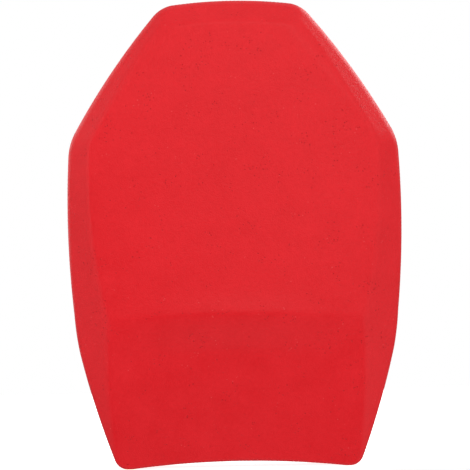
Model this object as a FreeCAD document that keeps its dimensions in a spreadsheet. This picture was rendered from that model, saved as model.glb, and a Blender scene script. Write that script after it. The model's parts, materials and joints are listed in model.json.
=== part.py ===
"""Kick shield: a moulded foam pad with two forearm straps, two hand grips and a carry handle.

Frame: +Z up, the striking face towards -Y, +X to the right seen from the front. The shield stands on
the two corner lobes of its bottom edge. The origin is the middle of its box at that height.
Millimetres throughout.
"""

import FreeCAD, Part
import math
import os

V = FreeCAD.Vector
SIDES = {"left": -1, "right": 1}

doc = FreeCAD.newDocument("kick_shield")
sheet = doc.addObject("Spreadsheet::Sheet", "dims")

# Driving dimensions.
DIMENSIONS = {
    "back_plane": 11.0,        # y of the flat back, outside of the edge binding
    "wall_depth": 62.0,        # straight side wall, back plane to the start of the rim bevel
    "ridge_depth": 100.0,      # back plane to the crease ridge, the shield's full thickness
    "top_depth": 83.0,         # back plane to the face at the top edge
    "hem_depth": 63.0,         # back plane to the face at the bottom edge
    "ridge_level": 185.0,      # height of the crease
    "hem_level": 8.0,          # height where hem_depth is measured
    "rim_slope": 1.1,          # rise of the chamfer bevels for 1 mm inward
    "side_slope": 0.88,        # the same for the side bevels, which widen downward
    "lower_slope": 0.75,       # the same beside the lower panel
    "top_slope": 0.66,         # the same for the gentler top bevel
    "rim_reach": 46.0,         # blank in front of the wall that the face is cut from
    "skin_wall": 2.0,
    "binding_wall": 1.2,
    "binding_inset": 0.4,
    "binding_width": 15.6,
    "cover_wall": 1.5,
    "board_wall": 3.0,
    "rebound_wall": 12.0,
    "patch_wall": 1.5,
    "web_wall": 2.2,
    "tape_wall": 1.2,
    "pad_wall": 8.0,
    "arm_place": 58.0,         # forearm strap's centre line from the middle
    "arm_width": 50.0,
    "arm_pad_width": 62.0,
    "arm_lean": 52.0,          # angle between the strap's straight runs and the back, degrees
    "arm_bow_radius": 60.0,
    "arm_top": 86.7,           # y of the webbing's centre at the top of the bow
    "foot_length": 30.0,
    "root_bend": 12.0,
    "ring_level": 212.0,       # height of the ring's lower bar
    "ring_pitch": 18.0,
    "keeper_length": 42.0,
    "ring_wire": 4.5,
    "tab_gap": 0.3,
    "grip_place": 148.0,
    "grip_level": 300.0,
    "grip_standoff": 50.0,     # web centre above the feet's centre
    "grip_half_run": 60.0,     # half of the straight middle run, corner to corner
    "grip_half_span": 84.0,    # half of the distance between the roots
    "grip_tube": 98.0,
    "carry_level": 500.0,
    "carry_standoff": 42.0,
    "carry_half_run": 47.0,
    "carry_half_span": 62.0,
    "carry_tube": 74.0,
    "handle_web": 22.0,
    "handle_bend": 14.0,
    "handle_foot": 28.0,
    "oval_wide": 32.0,         # foam tube round the handle's web
    "oval_deep": 24.0,
    "wrap_wall": 1.5,
    "slot_play": 0.4,
    "flex_clearance": 6.2,     # height above the feet's centre where a flexing web starts
    "wrap_play": 0.1,          # between the webbing and the ring it turns round
    "shank_radius": 2.0,
    "shank_play": 0.1,
    "dome_radius": 5.2,
    "dome_rise": 1.6,
    "washer_radius": 6.5,
    "washer_wall": 1.0,
    "clinch_radius": 3.6,
    "clinch_wall": 1.2,
    "vent_bore": 4.0,
    "vent_flange": 8.0,
    "vent_wall": 0.8,
    "patch_margin": 5.0,       # patch beyond the webbing on each side
    "foot_patch_margin": 4.0,  # patch beyond a handle's foot at each end
    "patch_corner": 4.0,
    "top_patch_drop": 13.0,    # from the strap foot's end down to its patch's middle
    "top_patch_height": 42.0,
    "ring_patch_drop": 22.0,   # from the ring's lower bar down to its patch's middle
    "ring_patch_height": 52.0,
    "strap_rivet_spread": 15.0,  # each side of a forearm strap's centre line
    "top_rivet_drop": 10.0,
    "ring_rivet_drop": 28.0,
    "pad_top_gap": 26.0,       # from the root to the pad, along the strap
    "pad_ring_gap": 14.0,
    "loop_top_angle": 8.0,     # tape ends on the bow, degrees from +Y towards +Z
    "loop_ring_gap": 8.0,
    "loop_margin": 2.0,
    "hook_top_angle": -40.0,
    "hook_ring_gap": 26.0,
    "hook_margin": 3.0,
    "tab_top_angle": -36.0,
    "tab_landing": 24.0,       # from the ring to where the tab comes down on the tapes
    "tab_ease": 60.0,
    "pull_sweep": 14.0,        # degrees of the bow that the pull covers
    "pull_wall": 3.0,
    "pull_width": 34.0,
    "ring_bend": 4.2,
    "ring_play": 0.4,
    "upper_vent_across": 112.0,
    "upper_vent_level": 452.0,
    "lower_vent_across": 98.0,
    "lower_vent_level": 92.0,
    "pocket_play": 0.5,
    "pocket_clearance": 0.3,
}

# Planes of the stack, in y from the back towards the face, and of the webbing on it.
PLANES = {
    "cover_face": "=back_plane - binding_wall",
    "board_back": "=cover_face - cover_wall",
    "board_front": "=board_back - board_wall",
    "rebound_front": "=board_front - rebound_wall",
    "wall_end": "=back_plane - wall_depth",
    "block_front": "=wall_end - rim_reach",
    "web_centre": "=cover_face + patch_wall + web_wall / 2",
    "web_face": "=web_centre + web_wall / 2",
}

# Right half of the front view: distance from the centre line and height of each point. Arcs run
# through every group of three in ARCS.
OUTLINE = {
    "arch_crown": (0.0, 7.2),
    "foot_inner": (128.0, 0.0),
    "foot_outer": (134.0, 0.0),
    "foot_round": (143.3, 3.4),
    "foot_side": (149.3, 12.2),
    "lower_bow": (172.2, 80.0),
    "hip_start": (188.2, 140.0),
    "hip_round": (191.9, 162.0),
    "hip_end": (194.3, 187.0),
    "side_bow": (200.2, 305.0),
    "shoulder_start": (198.2, 372.0),
    "shoulder_round": (196.3, 387.0),
    "shoulder_end": (190.5, 403.0),
    "chamfer_bow": (148.5, 470.5),
    "chamfer_end": (95.4, 540.0),
    "corner_round": (85.0, 549.7),
    "top_start": (72.0, 555.4),
    "top_crown": (0.0, 560.0),
}
ARCS = (
    ("foot_outer", "foot_round", "foot_side"),
    ("foot_side", "lower_bow", "hip_start"),
    ("hip_start", "hip_round", "hip_end"),
    ("hip_end", "side_bow", "shoulder_start"),
    ("shoulder_start", "shoulder_round", "shoulder_end"),
    ("shoulder_end", "chamfer_bow", "chamfer_end"),
    ("chamfer_end", "corner_round", "top_start"),
)
# The long arcs that carry a rim bevel, and the slope each uses.
CAPS = ((ARCS[1], "lower_slope"), (ARCS[3], "side_slope"), (ARCS[5], "rim_slope"))


def fill_sheet():
    """Write every dimension, outline point and plane into the sheet, with its alias."""
    cells = dict(DIMENSIONS)
    for name, (across, level) in OUTLINE.items():
        cells[f"{name}_across"] = across
        cells[f"{name}_level"] = level
    cells.update(PLANES)
    for row, (alias, number) in enumerate(cells.items(), start=1):
        sheet.set(f"A{row}", alias)
        sheet.set(f"B{row}", str(number))
        sheet.setAlias(f"B{row}", alias)
    doc.recompute()


def dim(alias):
    """Value of a sheet cell, by its alias."""
    return float(sheet.get(alias))


def bind(item, **expressions):
    """Bind properties to the sheet; a double underscore in a name stands for a dot."""
    for name, text in expressions.items():
        item.setExpression(name.replace("__", "."), text)
    return item


def feature(name, shape):
    """Part::Feature that holds a shape."""
    item = doc.addObject("Part::Feature", name)
    item.Shape = shape
    return item


def boolean(kind, name, first, second):
    """Part::Cut or Part::Common of two objects."""
    item = doc.addObject(f"Part::{kind}", name)
    item.Base = first
    item.Tool = second
    return item


# ---------------------------------------------------------------- outline and rim


def outline_point(name, side=1):
    """Point of the outline on the right half, or its mirror."""
    return V(side * dim(f"{name}_across"), 0, dim(f"{name}_level"))


def outline_wire():
    """Closed plan of the shield in the XZ plane, arcs and two short flats that it stands on."""
    edges = []
    for side in (1, -1):
        flat = [outline_point("foot_inner", side), outline_point("foot_outer", side)]
        edges.append(Part.makeLine(*flat))
        for names in ARCS:
            edges.append(Part.Arc(*[outline_point(n, side) for n in names]).toShape())
    for end, crown in (("foot_inner", "arch_crown"), ("top_start", "top_crown")):
        span = [outline_point(end), outline_point(crown), outline_point(end, -1)]
        edges.append(Part.Arc(*span).toShape())
    return Part.Wire(Part.__sortEdges__(edges))


def slab(name, inset, start, thickness):
    """The outline, set in by `inset`, from y = start over a thickness towards +Y."""
    plan = doc.addObject("Part::Offset2D", f"{name}_plan")
    plan.Source = outline
    bind(plan, Value=f"-({inset})")
    block = doc.addObject("Part::Extrusion", name)
    block.Base = plan
    block.DirMode = "Custom"
    block.Dir = V(0, 1, 0)
    block.Solid = True
    return bind(block, LengthFwd=thickness, Placement__Base__y=start)


def rim_planes():
    """Point and outward normal of every flat that makes the rim bevels and the two faces."""
    planes = []
    wall = V(0, dim("wall_end"), 0)
    spans = []
    for names, slope in CAPS:
        spans += [([outline_point(n, side) for n in names], slope) for side in (1, -1)]
    top = [outline_point("top_start"), outline_point("top_crown"), outline_point("top_start", -1)]
    spans.append((top, "top_slope"))
    for points, slope in spans:
        arc = Part.Arc(*points)
        centre = Part.Circle(*points).Center
        rise = dim(slope)
        for share in (1 / 6, 1 / 2, 5 / 6):
            spot = arc.value(arc.FirstParameter + share * (arc.LastParameter - arc.FirstParameter))
            outward = (spot - centre).normalize()
            planes.append((spot + wall, (outward * rise + V(0, -1, 0)).normalize()))
    depth, level = dim("ridge_depth"), dim("ridge_level")
    ridge = V(0, dim("back_plane") - depth, level)
    for end_depth, end_level in (("top_depth", "top_crown_level"), ("hem_depth", "hem_level")):
        along = V(0, depth - dim(end_depth), dim(end_level) - level).normalize()
        planes.append((ridge, V(0, -abs(along.z), math.copysign(along.y, along.z))))
    return planes


def bevelled(name, block, inset):
    """Trim a slab with every rim bevel and both faces, all set in by a distance."""
    reach = 700.0
    result = block
    for number, (point, outward) in enumerate(rim_planes()):
        keep_side = doc.addObject("Part::Box", f"{name}_side_{number}")
        keep_side.Length = keep_side.Width = 2 * reach
        keep_side.Height = reach
        turn = FreeCAD.Rotation(V(0, 0, 1), outward)
        corner = point - outward * inset - turn.multVec(V(reach, reach, reach))
        keep_side.Placement = FreeCAD.Placement(corner, turn)
        result = boolean("Common", f"{name}_trim_{number}", result, keep_side)
    return result


# ---------------------------------------------------------------- webbing


def ribbon_side(points, radii, shift):
    """Edges of a bent strip's centre line moved sideways by `shift`, with tangent arcs."""
    edges = []
    start = None
    for i, point in enumerate(points):
        before = (point - points[i - 1]).normalize() if i else None
        after = (points[i + 1] - point).normalize() if i < len(points) - 1 else None
        if before is None or after is None:
            way = after if before is None else before
            here = point + V(0, -way.z, way.y) * shift
            if start is not None:
                edges.append(Part.makeLine(start, here))
            start = here
            continue
        turn = math.atan2(before.y * after.z - before.z * after.y, before.dot(after))
        radius = radii[i - 1]
        tangent = radius * math.tan(abs(turn) / 2)
        sign = 1 if turn > 0 else -1
        centre = point - before * tangent + V(0, -before.z, before.y) * (sign * radius)
        reach = radius - sign * shift
        ends = [V(0, before.z, -before.y) * (sign * reach), V(0, after.z, -after.y) * (sign * reach)]
        middle = (ends[0] + ends[1]).normalize() * reach
        arc = [centre + ends[0], centre + middle, centre + ends[1]]
        if (arc[0] - start).Length > 1e-6:
            edges.append(Part.makeLine(start, arc[0]))
        edges.append(Part.Arc(*arc).toShape())
        start = arc[2]
    return edges


def ribbon(points, radii, thickness, width, place, offset=0.0):
    """Strip of webbing: a centre line in the YZ plane bent round `radii`, `width` wide at x = place."""
    one = ribbon_side(points, radii, offset + thickness / 2)
    two = ribbon_side(points, radii, offset - thickness / 2)
    ends = [
        Part.makeLine(one[0].Vertexes[0].Point, two[0].Vertexes[0].Point),
        Part.makeLine(one[-1].Vertexes[-1].Point, two[-1].Vertexes[-1].Point),
    ]
    wire = Part.Wire(Part.__sortEdges__(one + two + ends))
    face = Part.Face(wire)
    face.translate(V(place - width / 2, 0, 0))
    return face.extrude(V(width, 0, 0))


def polar(angle):
    """Unit vector in the YZ plane, degrees from +Y towards +Z."""
    return V(0, math.cos(math.radians(angle)), math.sin(math.radians(angle)))


# ---------------------------------------------------------------- plates and fasteners


def plate(name, width, height, place, level):
    """Flat patch lying on the cover, with rounded corners; sizes and places are expressions."""
    box = doc.addObject("Part::Box", f"{name}_blank")
    bind(box, Length=width, Height=height, Width="dims.patch_wall")
    bind(box, Placement__Base__x=f"{place} - ({width}) / 2", Placement__Base__y="dims.cover_face")
    bind(box, Placement__Base__z=f"{level} - ({height}) / 2")
    doc.recompute()
    rounded = doc.addObject("Part::Fillet", name)
    rounded.Base = box
    corner = dim("patch_corner")
    edges = []
    for number, edge in enumerate(box.Shape.Edges, start=1):
        if abs(edge.tangentAt(edge.FirstParameter).y) > 0.9:
            edges.append((number, corner, corner))
    rounded.Edges = edges
    return rounded


def group(name, items):
    """Several separate solids in one node."""
    doc.recompute()
    shapes = [solid for item in items for solid in item.Shape.Solids]
    return feature(name, Part.makeCompound(shapes))


def revolved(name, profile):
    """PartDesign body turned about Y from a closed profile of (radius, y) points."""
    body = doc.addObject("PartDesign::Body", name)
    sketch = body.newObject("Sketcher::SketchObject", f"{name}_profile")
    plane = [f for f in body.Origin.OriginFeatures if f.Role == "XY_Plane"][0]
    sketch.AttachmentSupport = [(plane, "")]
    sketch.MapMode = "FlatFace"
    for i, (radius, height) in enumerate(profile):
        after = profile[(i + 1) % len(profile)]
        sketch.addGeometry(Part.LineSegment(V(radius, height, 0), V(after[0], after[1], 0)))
    turn = body.newObject("PartDesign::Revolution", f"{name}_turn")
    turn.Profile = sketch
    turn.ReferenceAxis = (sketch, ["V_Axis"])
    turn.Angle = 360
    doc.recompute()
    return body


def spread(name, master, places):
    """One copy of a master solid at every (x, z)."""
    shapes = []
    for x, z in places:
        shape = master.Shape.Solids[0].copy()
        shape.translate(V(x, 0, z))
        shapes.append(shape)
    return feature(name, Part.makeCompound(shapes))


def hole_radius():
    """Clearance hole for a rivet's shank."""
    return dim("shank_radius") + dim("shank_play")


def drill(name, item, places, radius=None, start=None):
    """Cut a round hole at every (x, z), from y = start, by default inside the board, out to the webbing."""
    radius = hole_radius() if radius is None else radius
    start = dim("board_front") - 1 if start is None else start
    depth = dim("web_face") + 2 * dim("web_wall") - start
    tools = [Part.makeCylinder(radius, depth, V(x, start, z), V(0, 1, 0)) for x, z in places]
    return boolean("Cut", name, item, feature(f"{name}_tool", Part.makeCompound(tools)))


# ---------------------------------------------------------------- sub-parts

fill_sheet()
outline = feature("outline", outline_wire())
nodes = {}


def keep(name, item):
    """Register an object as the sub-part `name`."""
    item.Label = name
    nodes[name] = item


def build_pad():
    """Skin, foams, board, cover and binding; returns the parts that rivets and eyelets pass through."""
    skin = "dims.skin_wall"
    foam_blank = slab("impact_blank", skin, "dims.block_front", "dims.wall_end - dims.block_front")
    skin_blank = slab("skin_blank", "0", "dims.block_front", "dims.cover_face - dims.block_front")
    hollow = slab("skin_hollow", skin, "dims.wall_end", "dims.cover_face - dims.wall_end")
    impact = bevelled("impact", foam_blank, dim("skin_wall"))
    shell = bevelled("skin", skin_blank, 0.0)
    opened = boolean("Cut", "skin_opened", shell, hollow)
    keep("front_skin", boolean("Cut", "front_skin_shell", opened, impact))
    keep("impact_foam", impact)
    core = slab("core_block", skin, "dims.wall_end", "dims.rebound_front - dims.wall_end")
    keep("core_foam", core)
    rebound = slab("rebound_block", skin, "dims.rebound_front", "dims.rebound_wall")
    board = slab("board_sheet", skin, "dims.board_front", "dims.board_wall")
    cover = slab("cover_sheet", skin, "dims.board_back", "dims.cover_wall")
    ring = slab("binding_outer", "dims.binding_inset", "dims.cover_face", "dims.binding_wall")
    inner = "dims.binding_inset + dims.binding_width"
    gap = slab("binding_inner", inner, "dims.cover_face", "dims.binding_wall")
    keep("edge_binding", boolean("Cut", "binding_ring", ring, gap))
    return rebound, board, cover


def arm_line():
    """Centre line of a forearm strap, worked out from its ring, its lean and its bow."""
    lean = dim("arm_lean")
    up_run = polar(90 - lean)
    outer = polar(-lean)
    wrap = (dim("ring_wire") + dim("web_wall")) / 2 + dim("wrap_play")
    low_bar = V(0, dim("web_centre") + wrap, dim("ring_level"))
    bar = low_bar + up_run * dim("ring_pitch")
    near = bar - outer * wrap
    radius = dim("arm_bow_radius")
    corner_y = dim("arm_top") + radius * (1 / math.cos(math.radians(lean)) - 1)
    corner = near + up_run * ((corner_y - near.y) / up_run.y)
    drop = corner_y - dim("web_centre")
    root = V(0, dim("web_centre"), corner.z + drop * up_run.z / up_run.y)
    return {
        "lean": lean,
        "up": up_run,
        "outer": outer,
        "wrap": wrap,
        "bar": bar,
        "low_bar": low_bar,
        "near": near,
        "corner": corner,
        "root": root,
        "foot": root + V(0, 0, dim("foot_length")),
        "radius": radius,
        "centre": V(0, dim("arm_top") - radius, corner.z),
    }


def bow_start(end_angle, shift=0.0):
    """First two points of a strip that begins on the bow at an angle and runs down to the ring."""
    reach = arm["radius"] + shift
    half_turn = (end_angle + arm["lean"]) / 2
    first = arm["centre"] + polar(end_angle) * reach
    corner_reach = reach / math.cos(math.radians(half_turn))
    return [first, arm["centre"] + polar(end_angle - half_turn) * corner_reach]


def bent(centre, radius, start, end, thickness, width, place):
    """Strip bent round a centre between two angles."""
    radii = (radius + thickness / 2, radius - thickness / 2)
    arcs = []
    for reach in radii:
        points = [centre + polar(a) * reach for a in (start, (start + end) / 2, end)]
        arcs.append(Part.Arc(*points).toShape())
    ends = []
    for angle in (start, end):
        ends.append(Part.makeLine(centre + polar(angle) * radii[0], centre + polar(angle) * radii[1]))
    face = Part.Face(Part.Wire(Part.__sortEdges__(arcs + ends)))
    face.translate(V(place - width / 2, 0, 0))
    return face.extrude(V(width, 0, 0))


def wire_ring(name, place):
    """Rectangular wire ring that joins the strap to its keeper, leaning with the strap's lower run."""
    wire = dim("ring_wire") / 2
    bend = dim("ring_bend")
    half = dim("arm_width") / 2 + bend + dim("ring_play")
    low, high = arm["low_bar"], arm["bar"]
    turns = ((-half, low), (half, low), (half, high), (-half, high))
    corners = [V(place + x, point.y, point.z) for x, point in turns]
    arcs = []
    for i, corner in enumerate(corners):
        before = (corner - corners[i - 1]).normalize()
        after = (corners[(i + 1) % 4] - corner).normalize()
        middle = corner + (after - before) * (bend * (1 - math.sqrt(0.5)))
        arcs.append((corner - before * bend, middle, corner + after * bend))
    edges = [Part.Arc(*arc).toShape() for arc in arcs]
    edges += [Part.makeLine(arc[2], arcs[(i + 1) % 4][0]) for i, arc in enumerate(arcs)]
    path = Part.Wire(Part.__sortEdges__(edges))
    first = path.Edges[0]
    start = first.valueAt(first.FirstParameter)
    section = Part.Wire(Part.makeCircle(wire, start, first.tangentAt(first.FirstParameter)))
    return feature(name, path.makePipeShell([section], True, False))


def build_keeper(place):
    """Short web that lies on the patch, turns round the ring's lower bar and lies back on itself."""
    low = arm["low_bar"]
    wrap = arm["wrap"]
    foot = low.z - dim("keeper_length")
    lower = dim("web_centre")
    upper = lower + dim("web_wall") + dim("wrap_play")
    crest = low.z + wrap
    points = [
        V(0, lower, foot),
        V(0, lower, crest),
        V(0, low.y + wrap, crest),
        V(0, low.y + wrap, low.z - 4),
        V(0, upper, low.z - 14),
        V(0, upper, foot),
    ]
    return ribbon(points, [wrap, wrap, 4, 4], dim("web_wall"), dim("arm_width"), place)


def build_arm(side_name, side):
    """One forearm strap: patches, web, liner, tapes, ring, keeper and tab; returns its rivet places."""
    place = side * dim("arm_place")
    width = dim("arm_width")
    web_wall = dim("web_wall")
    tape = dim("tape_wall")
    bow = arm["radius"]
    spread_x = dim("strap_rivet_spread")
    top_level = arm["foot"].z - dim("top_rivet_drop")
    ring_level = arm["low_bar"].z - dim("ring_rivet_drop")
    top_rivets = [(place + dx, top_level) for dx in (-spread_x, spread_x)]
    ring_rivets = [(place + dx, ring_level) for dx in (-spread_x, spread_x)]

    path = [arm["foot"], arm["root"], arm["corner"], arm["near"]]
    web = ribbon(path, [dim("root_bend"), bow], web_wall, width, place)
    turned = bent(arm["bar"], arm["wrap"], 180 - arm["lean"], 225 - arm["lean"], web_wall, width, place)
    strap = feature(f"strap_web_{side_name}", web.fuse(turned).removeSplitter())
    keep(f"arm_strap_{side_name}", drill(f"strap_drilled_{side_name}", strap, top_rivets))

    # The padded liner is on the forearm side, from near the root to near the ring.
    down = (arm["corner"] - arm["root"]).normalize()
    pad_top = arm["root"] + down * dim("pad_top_gap")
    liner = [pad_top, arm["corner"], arm["near"] + arm["up"] * dim("pad_ring_gap")]
    shift = -(web_wall + dim("pad_wall")) / 2
    pad = ribbon(liner, [bow], dim("pad_wall"), dim("arm_pad_width"), place, shift)
    keep(f"arm_pad_{side_name}", feature(f"liner_{side_name}", pad))

    # Loop tape on the outside, then the hook tape under the tab.
    shift = (web_wall + tape) / 2
    line = bow_start(dim("loop_top_angle")) + [arm["near"] + arm["up"] * dim("loop_ring_gap")]
    loops = ribbon(line, [bow], tape, width - 2 * dim("loop_margin"), place, shift)
    keep(f"loop_tape_{side_name}", feature(f"loops_{side_name}", loops))
    shift += tape + dim("tab_gap")
    line = bow_start(dim("hook_top_angle")) + [arm["near"] + arm["up"] * dim("hook_ring_gap")]
    hooks = ribbon(line, [bow], tape, width - 2 * dim("hook_margin"), place, shift)
    keep(f"hook_tape_{side_name}", feature(f"hooks_{side_name}", hooks))

    # The tab leaves the ring's upper bar, comes down on the tapes and follows the bow.
    shift += (web_wall + tape) / 2
    end_angle = dim("tab_top_angle")
    landing = arm["near"] + arm["outer"] * shift + arm["up"] * dim("tab_landing")
    start = arm["bar"] + arm["outer"] * arm["wrap"] + arm["up"] * 0.5
    line = bow_start(end_angle, shift) + [landing, start]
    tab = ribbon(line, [bow + shift, dim("tab_ease")], web_wall, width, place)
    keep(f"strap_tab_{side_name}", feature(f"tab_{side_name}", tab))
    sweep = (end_angle, end_angle + dim("pull_sweep"))
    pull = bent(arm["centre"], bow + shift, *sweep, dim("pull_wall"), dim("pull_width"), place)
    keep(f"pull_tab_{side_name}", feature(f"pull_{side_name}", pull))

    keep(f"arm_ring_{side_name}", wire_ring(f"ring_{side_name}", place))
    keeper = feature(f"keeper_{side_name}", build_keeper(place))
    keep(f"ring_keeper_{side_name}", drill(f"keeper_drilled_{side_name}", keeper, ring_rivets))

    patches = []
    for key, anchor in (("top", arm["foot"].z), ("ring", arm["low_bar"].z)):
        sizes = ("dims.arm_width + 2 * dims.patch_margin", f"dims.{key}_patch_height")
        level = f"{anchor:.3f} - dims.{key}_patch_drop"
        patches.append(plate(f"arm_patch_{side_name}_{key}", *sizes, f"{side} * dims.arm_place", level))
    both = group(f"arm_patch_pair_{side_name}", patches)
    patched = drill(f"arm_patch_drilled_{side_name}", both, top_rivets + ring_rivets)
    keep(f"arm_patches_{side_name}", patched)
    return top_rivets, ring_rivets


def oval(name, grow, length, frame, middle):
    """Oval bar along a handle's run, its section grown all round by `grow` (an expression)."""
    plan = doc.addObject("Part::Ellipse", f"{name}_plan")
    bind(plan, MajorRadius=f"dims.oval_wide / 2 + {grow}", MinorRadius=f"dims.oval_deep / 2 + {grow}")
    plan.Placement = frame.multiply(FreeCAD.Placement(middle, FreeCAD.Rotation()))
    bar = doc.addObject("Part::Extrusion", name)
    bar.Base = plan
    bar.DirMode = "Normal"
    bar.Solid = True
    bar.Symmetric = True
    return bind(bar, LengthFwd=length)


def build_handle(kind, suffix, frame, patch_spots):
    """Webbing handle: feet, raised web, foam tube and wrap; returns the rivet places in its own run."""
    web_wall = dim("web_wall")
    width = dim("handle_web")
    base = dim("web_centre")
    top = base + dim(f"{kind}_standoff")
    run = dim(f"{kind}_half_run")
    span = dim(f"{kind}_half_span")
    foot = dim("handle_foot")
    rise = V(0, top - base, span - run)
    start = rise * (dim("flex_clearance") / rise.y)
    points = [
        V(0, base + start.y, -span + start.z),
        V(0, top, -run),
        V(0, top, run),
        V(0, base + start.y, span - start.z),
    ]
    bend = dim("handle_bend")
    web = feature(f"{kind}_web{suffix}", ribbon(points, [bend, bend], web_wall, width, 0))
    web.Placement = frame
    keep(f"{kind}_strap{suffix}", web)

    spots = [(0, end * (span + foot / 2)) for end in (-1, 1)]
    feet = []
    for _, z in spots:
        corner = V(-width / 2, base - web_wall / 2, z - foot / 2)
        flat = Part.makeBox(width, web_wall, foot, corner)
        hole = Part.makeCylinder(hole_radius(), 2 * base, V(0, 0, z), V(0, 1, 0))
        feet.append(flat.cut(hole))
    pair = feature(f"{kind}_feet_pair{suffix}", Part.makeCompound(feet))
    pair.Placement = frame
    keep(f"{kind}_feet{suffix}", pair)

    middle = V(0, top, 0)
    tube = f"dims.{kind}_tube"
    core = oval(f"{kind}_foam_bar{suffix}", "0", tube, frame, middle)
    slot = doc.addObject("Part::Box", f"{kind}_slot{suffix}")
    bind(slot, Length="dims.handle_web + dims.slot_play", Width="dims.web_wall + dims.slot_play")
    bind(slot, Height=f"{tube} + 2")
    doc.recompute()
    low = V(-slot.Length.Value / 2, top - slot.Width.Value / 2, -slot.Height.Value / 2)
    slot.Placement = frame.multiply(FreeCAD.Placement(low, FreeCAD.Rotation()))
    keep(f"{kind}_foam{suffix}", boolean("Cut", f"{kind}_foam_tube{suffix}", core, slot))
    outside = oval(f"{kind}_wrap_bar{suffix}", "dims.wrap_wall", tube, frame, middle)
    keep(f"{kind}_wrap{suffix}", boolean("Cut", f"{kind}_wrap_tube{suffix}", outside, core))

    patches = [plate(f"{kind}_patch{suffix}_{i}", *spot) for i, spot in enumerate(patch_spots)]
    rivets = [frame.multVec(V(x, 0, z)) for x, z in spots]
    rivets = [(point.x, point.z) for point in rivets]
    both = group(f"{kind}_patch_set{suffix}", patches)
    drilled = drill(f"{kind}_patch_drilled{suffix}", both, rivets)
    keep(f"{kind}_patches{suffix}", drilled)
    return rivets


def build_handles():
    """Left and right hand grips, upright, and the carry handle, level; returns their rivet places."""
    across = "dims.handle_web + 2 * dims.patch_margin"
    along = "dims.handle_foot + 2 * dims.foot_patch_margin"
    grip_rivets = []
    for side_name, side in SIDES.items():
        frame = FreeCAD.Placement(V(side * dim("grip_place"), 0, dim("grip_level")), FreeCAD.Rotation())
        spots = []
        for end in (-1, 1):
            level = f"dims.grip_level + {end} * (dims.grip_half_span + dims.handle_foot / 2)"
            spots.append((across, along, f"{side} * dims.grip_place", level))
        grip_rivets += build_handle("grip", f"_{side_name}", frame, spots)
    frame = FreeCAD.Placement(V(0, 0, dim("carry_level")), FreeCAD.Rotation(V(0, 1, 0), 90))
    spots = []
    for end in (-1, 1):
        place = f"{end} * (dims.carry_half_span + dims.handle_foot / 2)"
        spots.append((along, across, place, "dims.carry_level"))
    return grip_rivets, build_handle("carry", "", frame, spots)


def rivet_master(name, head_face):
    """Domed rivet: head outside at head_face, shank through the stack, clinched behind the washer."""
    shank = dim("shank_radius")
    dome = dim("dome_radius")
    rise = dim("dome_rise")
    washer_front = dim("board_front") - dim("washer_wall")
    clinch = dim("clinch_radius")
    profile = [
        (0, head_face + rise),
        (dome * 0.55, head_face + rise * 0.85),
        (dome * 0.9, head_face + rise * 0.4),
        (dome, head_face),
        (shank, head_face),
        (shank, washer_front),
        (clinch, washer_front),
        (clinch * 0.8, washer_front - dim("clinch_wall")),
        (0, washer_front - dim("clinch_wall")),
    ]
    return revolved(name, profile)


def ring_master(name, bore, rim, start, wall):
    """Flat washer about Y."""
    return revolved(name, [(bore, start), (rim, start), (rim, start + wall), (bore, start + wall)])


def build_vents():
    """Eyelets through the cover and their washers behind it; returns their places."""
    bore = dim("vent_bore")
    rim = dim("vent_flange")
    wall = dim("vent_wall")
    tube = bore + wall
    face = dim("cover_face")
    inside = dim("board_front")
    places = []
    for row in ("upper_vent", "lower_vent"):
        places += [(side * dim(f"{row}_across"), dim(f"{row}_level")) for side in (-1, 1)]
    profile = [
        (bore, face + wall),
        (rim, face + wall * 0.6),
        (rim, face),
        (tube, face),
        (tube, inside),
        (bore, inside),
    ]
    eyelet = revolved("eyelet_master", profile)
    keep("vent_eyelets", spread("vent_eyelet_set", eyelet, places))
    washer = ring_master("vent_washer_master", tube + dim("shank_play"), rim, inside - wall, wall)
    keep("vent_washers", spread("vent_washer_set", washer, places))
    return places


def build_rivets(top_places, ring_places, grip_places, carry_places):
    """Every rivet and its washer; the ring keepers are two webs thick, so theirs stand higher."""
    flat_rivet = rivet_master("flat_rivet_master", dim("web_face"))
    keeper_face = dim("web_face") + dim("web_wall") + dim("wrap_play")
    keeper_rivet = rivet_master("keeper_rivet_master", keeper_face)
    keep("strap_rivets", spread("strap_rivet_set", flat_rivet, top_places))
    keep("keeper_rivets", spread("keeper_rivet_set", keeper_rivet, ring_places))
    keep("grip_rivets", spread("grip_rivet_set", flat_rivet, grip_places))
    keep("carry_rivets", spread("carry_rivet_set", flat_rivet, carry_places))
    wall = dim("washer_wall")
    start = dim("board_front") - wall
    washer = ring_master("washer_master", hole_radius(), dim("washer_radius"), start, wall)
    places = top_places + ring_places + grip_places + carry_places
    keep("rivet_washers", spread("rivet_washer_set", washer, places))
    return places


def open_stack(rebound, board, cover, rivet_places, vent_places):
    """Holes in the cover and the board, and pockets in the foam for washers and clinched ends."""
    vent_hole = dim("vent_bore") + dim("vent_wall")
    cover_drilled = drill("cover_drilled", cover, rivet_places)
    keep("back_cover", drill("cover_vented", cover_drilled, vent_places, vent_hole))
    board_drilled = drill("board_drilled", board, rivet_places)
    keep("support_board", drill("board_vented", board_drilled, vent_places, vent_hole))
    pocket = dim("washer_radius") + dim("pocket_play")
    clinch_end = dim("board_front") - dim("washer_wall") - dim("clinch_wall")
    floor = clinch_end - dim("pocket_clearance")
    pocketed = drill("rebound_pockets", rebound, rivet_places, pocket, floor)
    vent_pocket = dim("vent_flange") + dim("pocket_play")
    through = dim("rebound_front") - 1
    keep("rebound_foam", drill("rebound_vents", pocketed, vent_places, vent_pocket, through))


def check_objects():
    """Stop if any object did not build."""
    doc.recompute()
    for item in doc.Objects:
        failed = [state for state in item.State if state in ("Invalid", "Error")]
        if failed:
            raise RuntimeError(f"{item.Label} did not build: {failed}")


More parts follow.
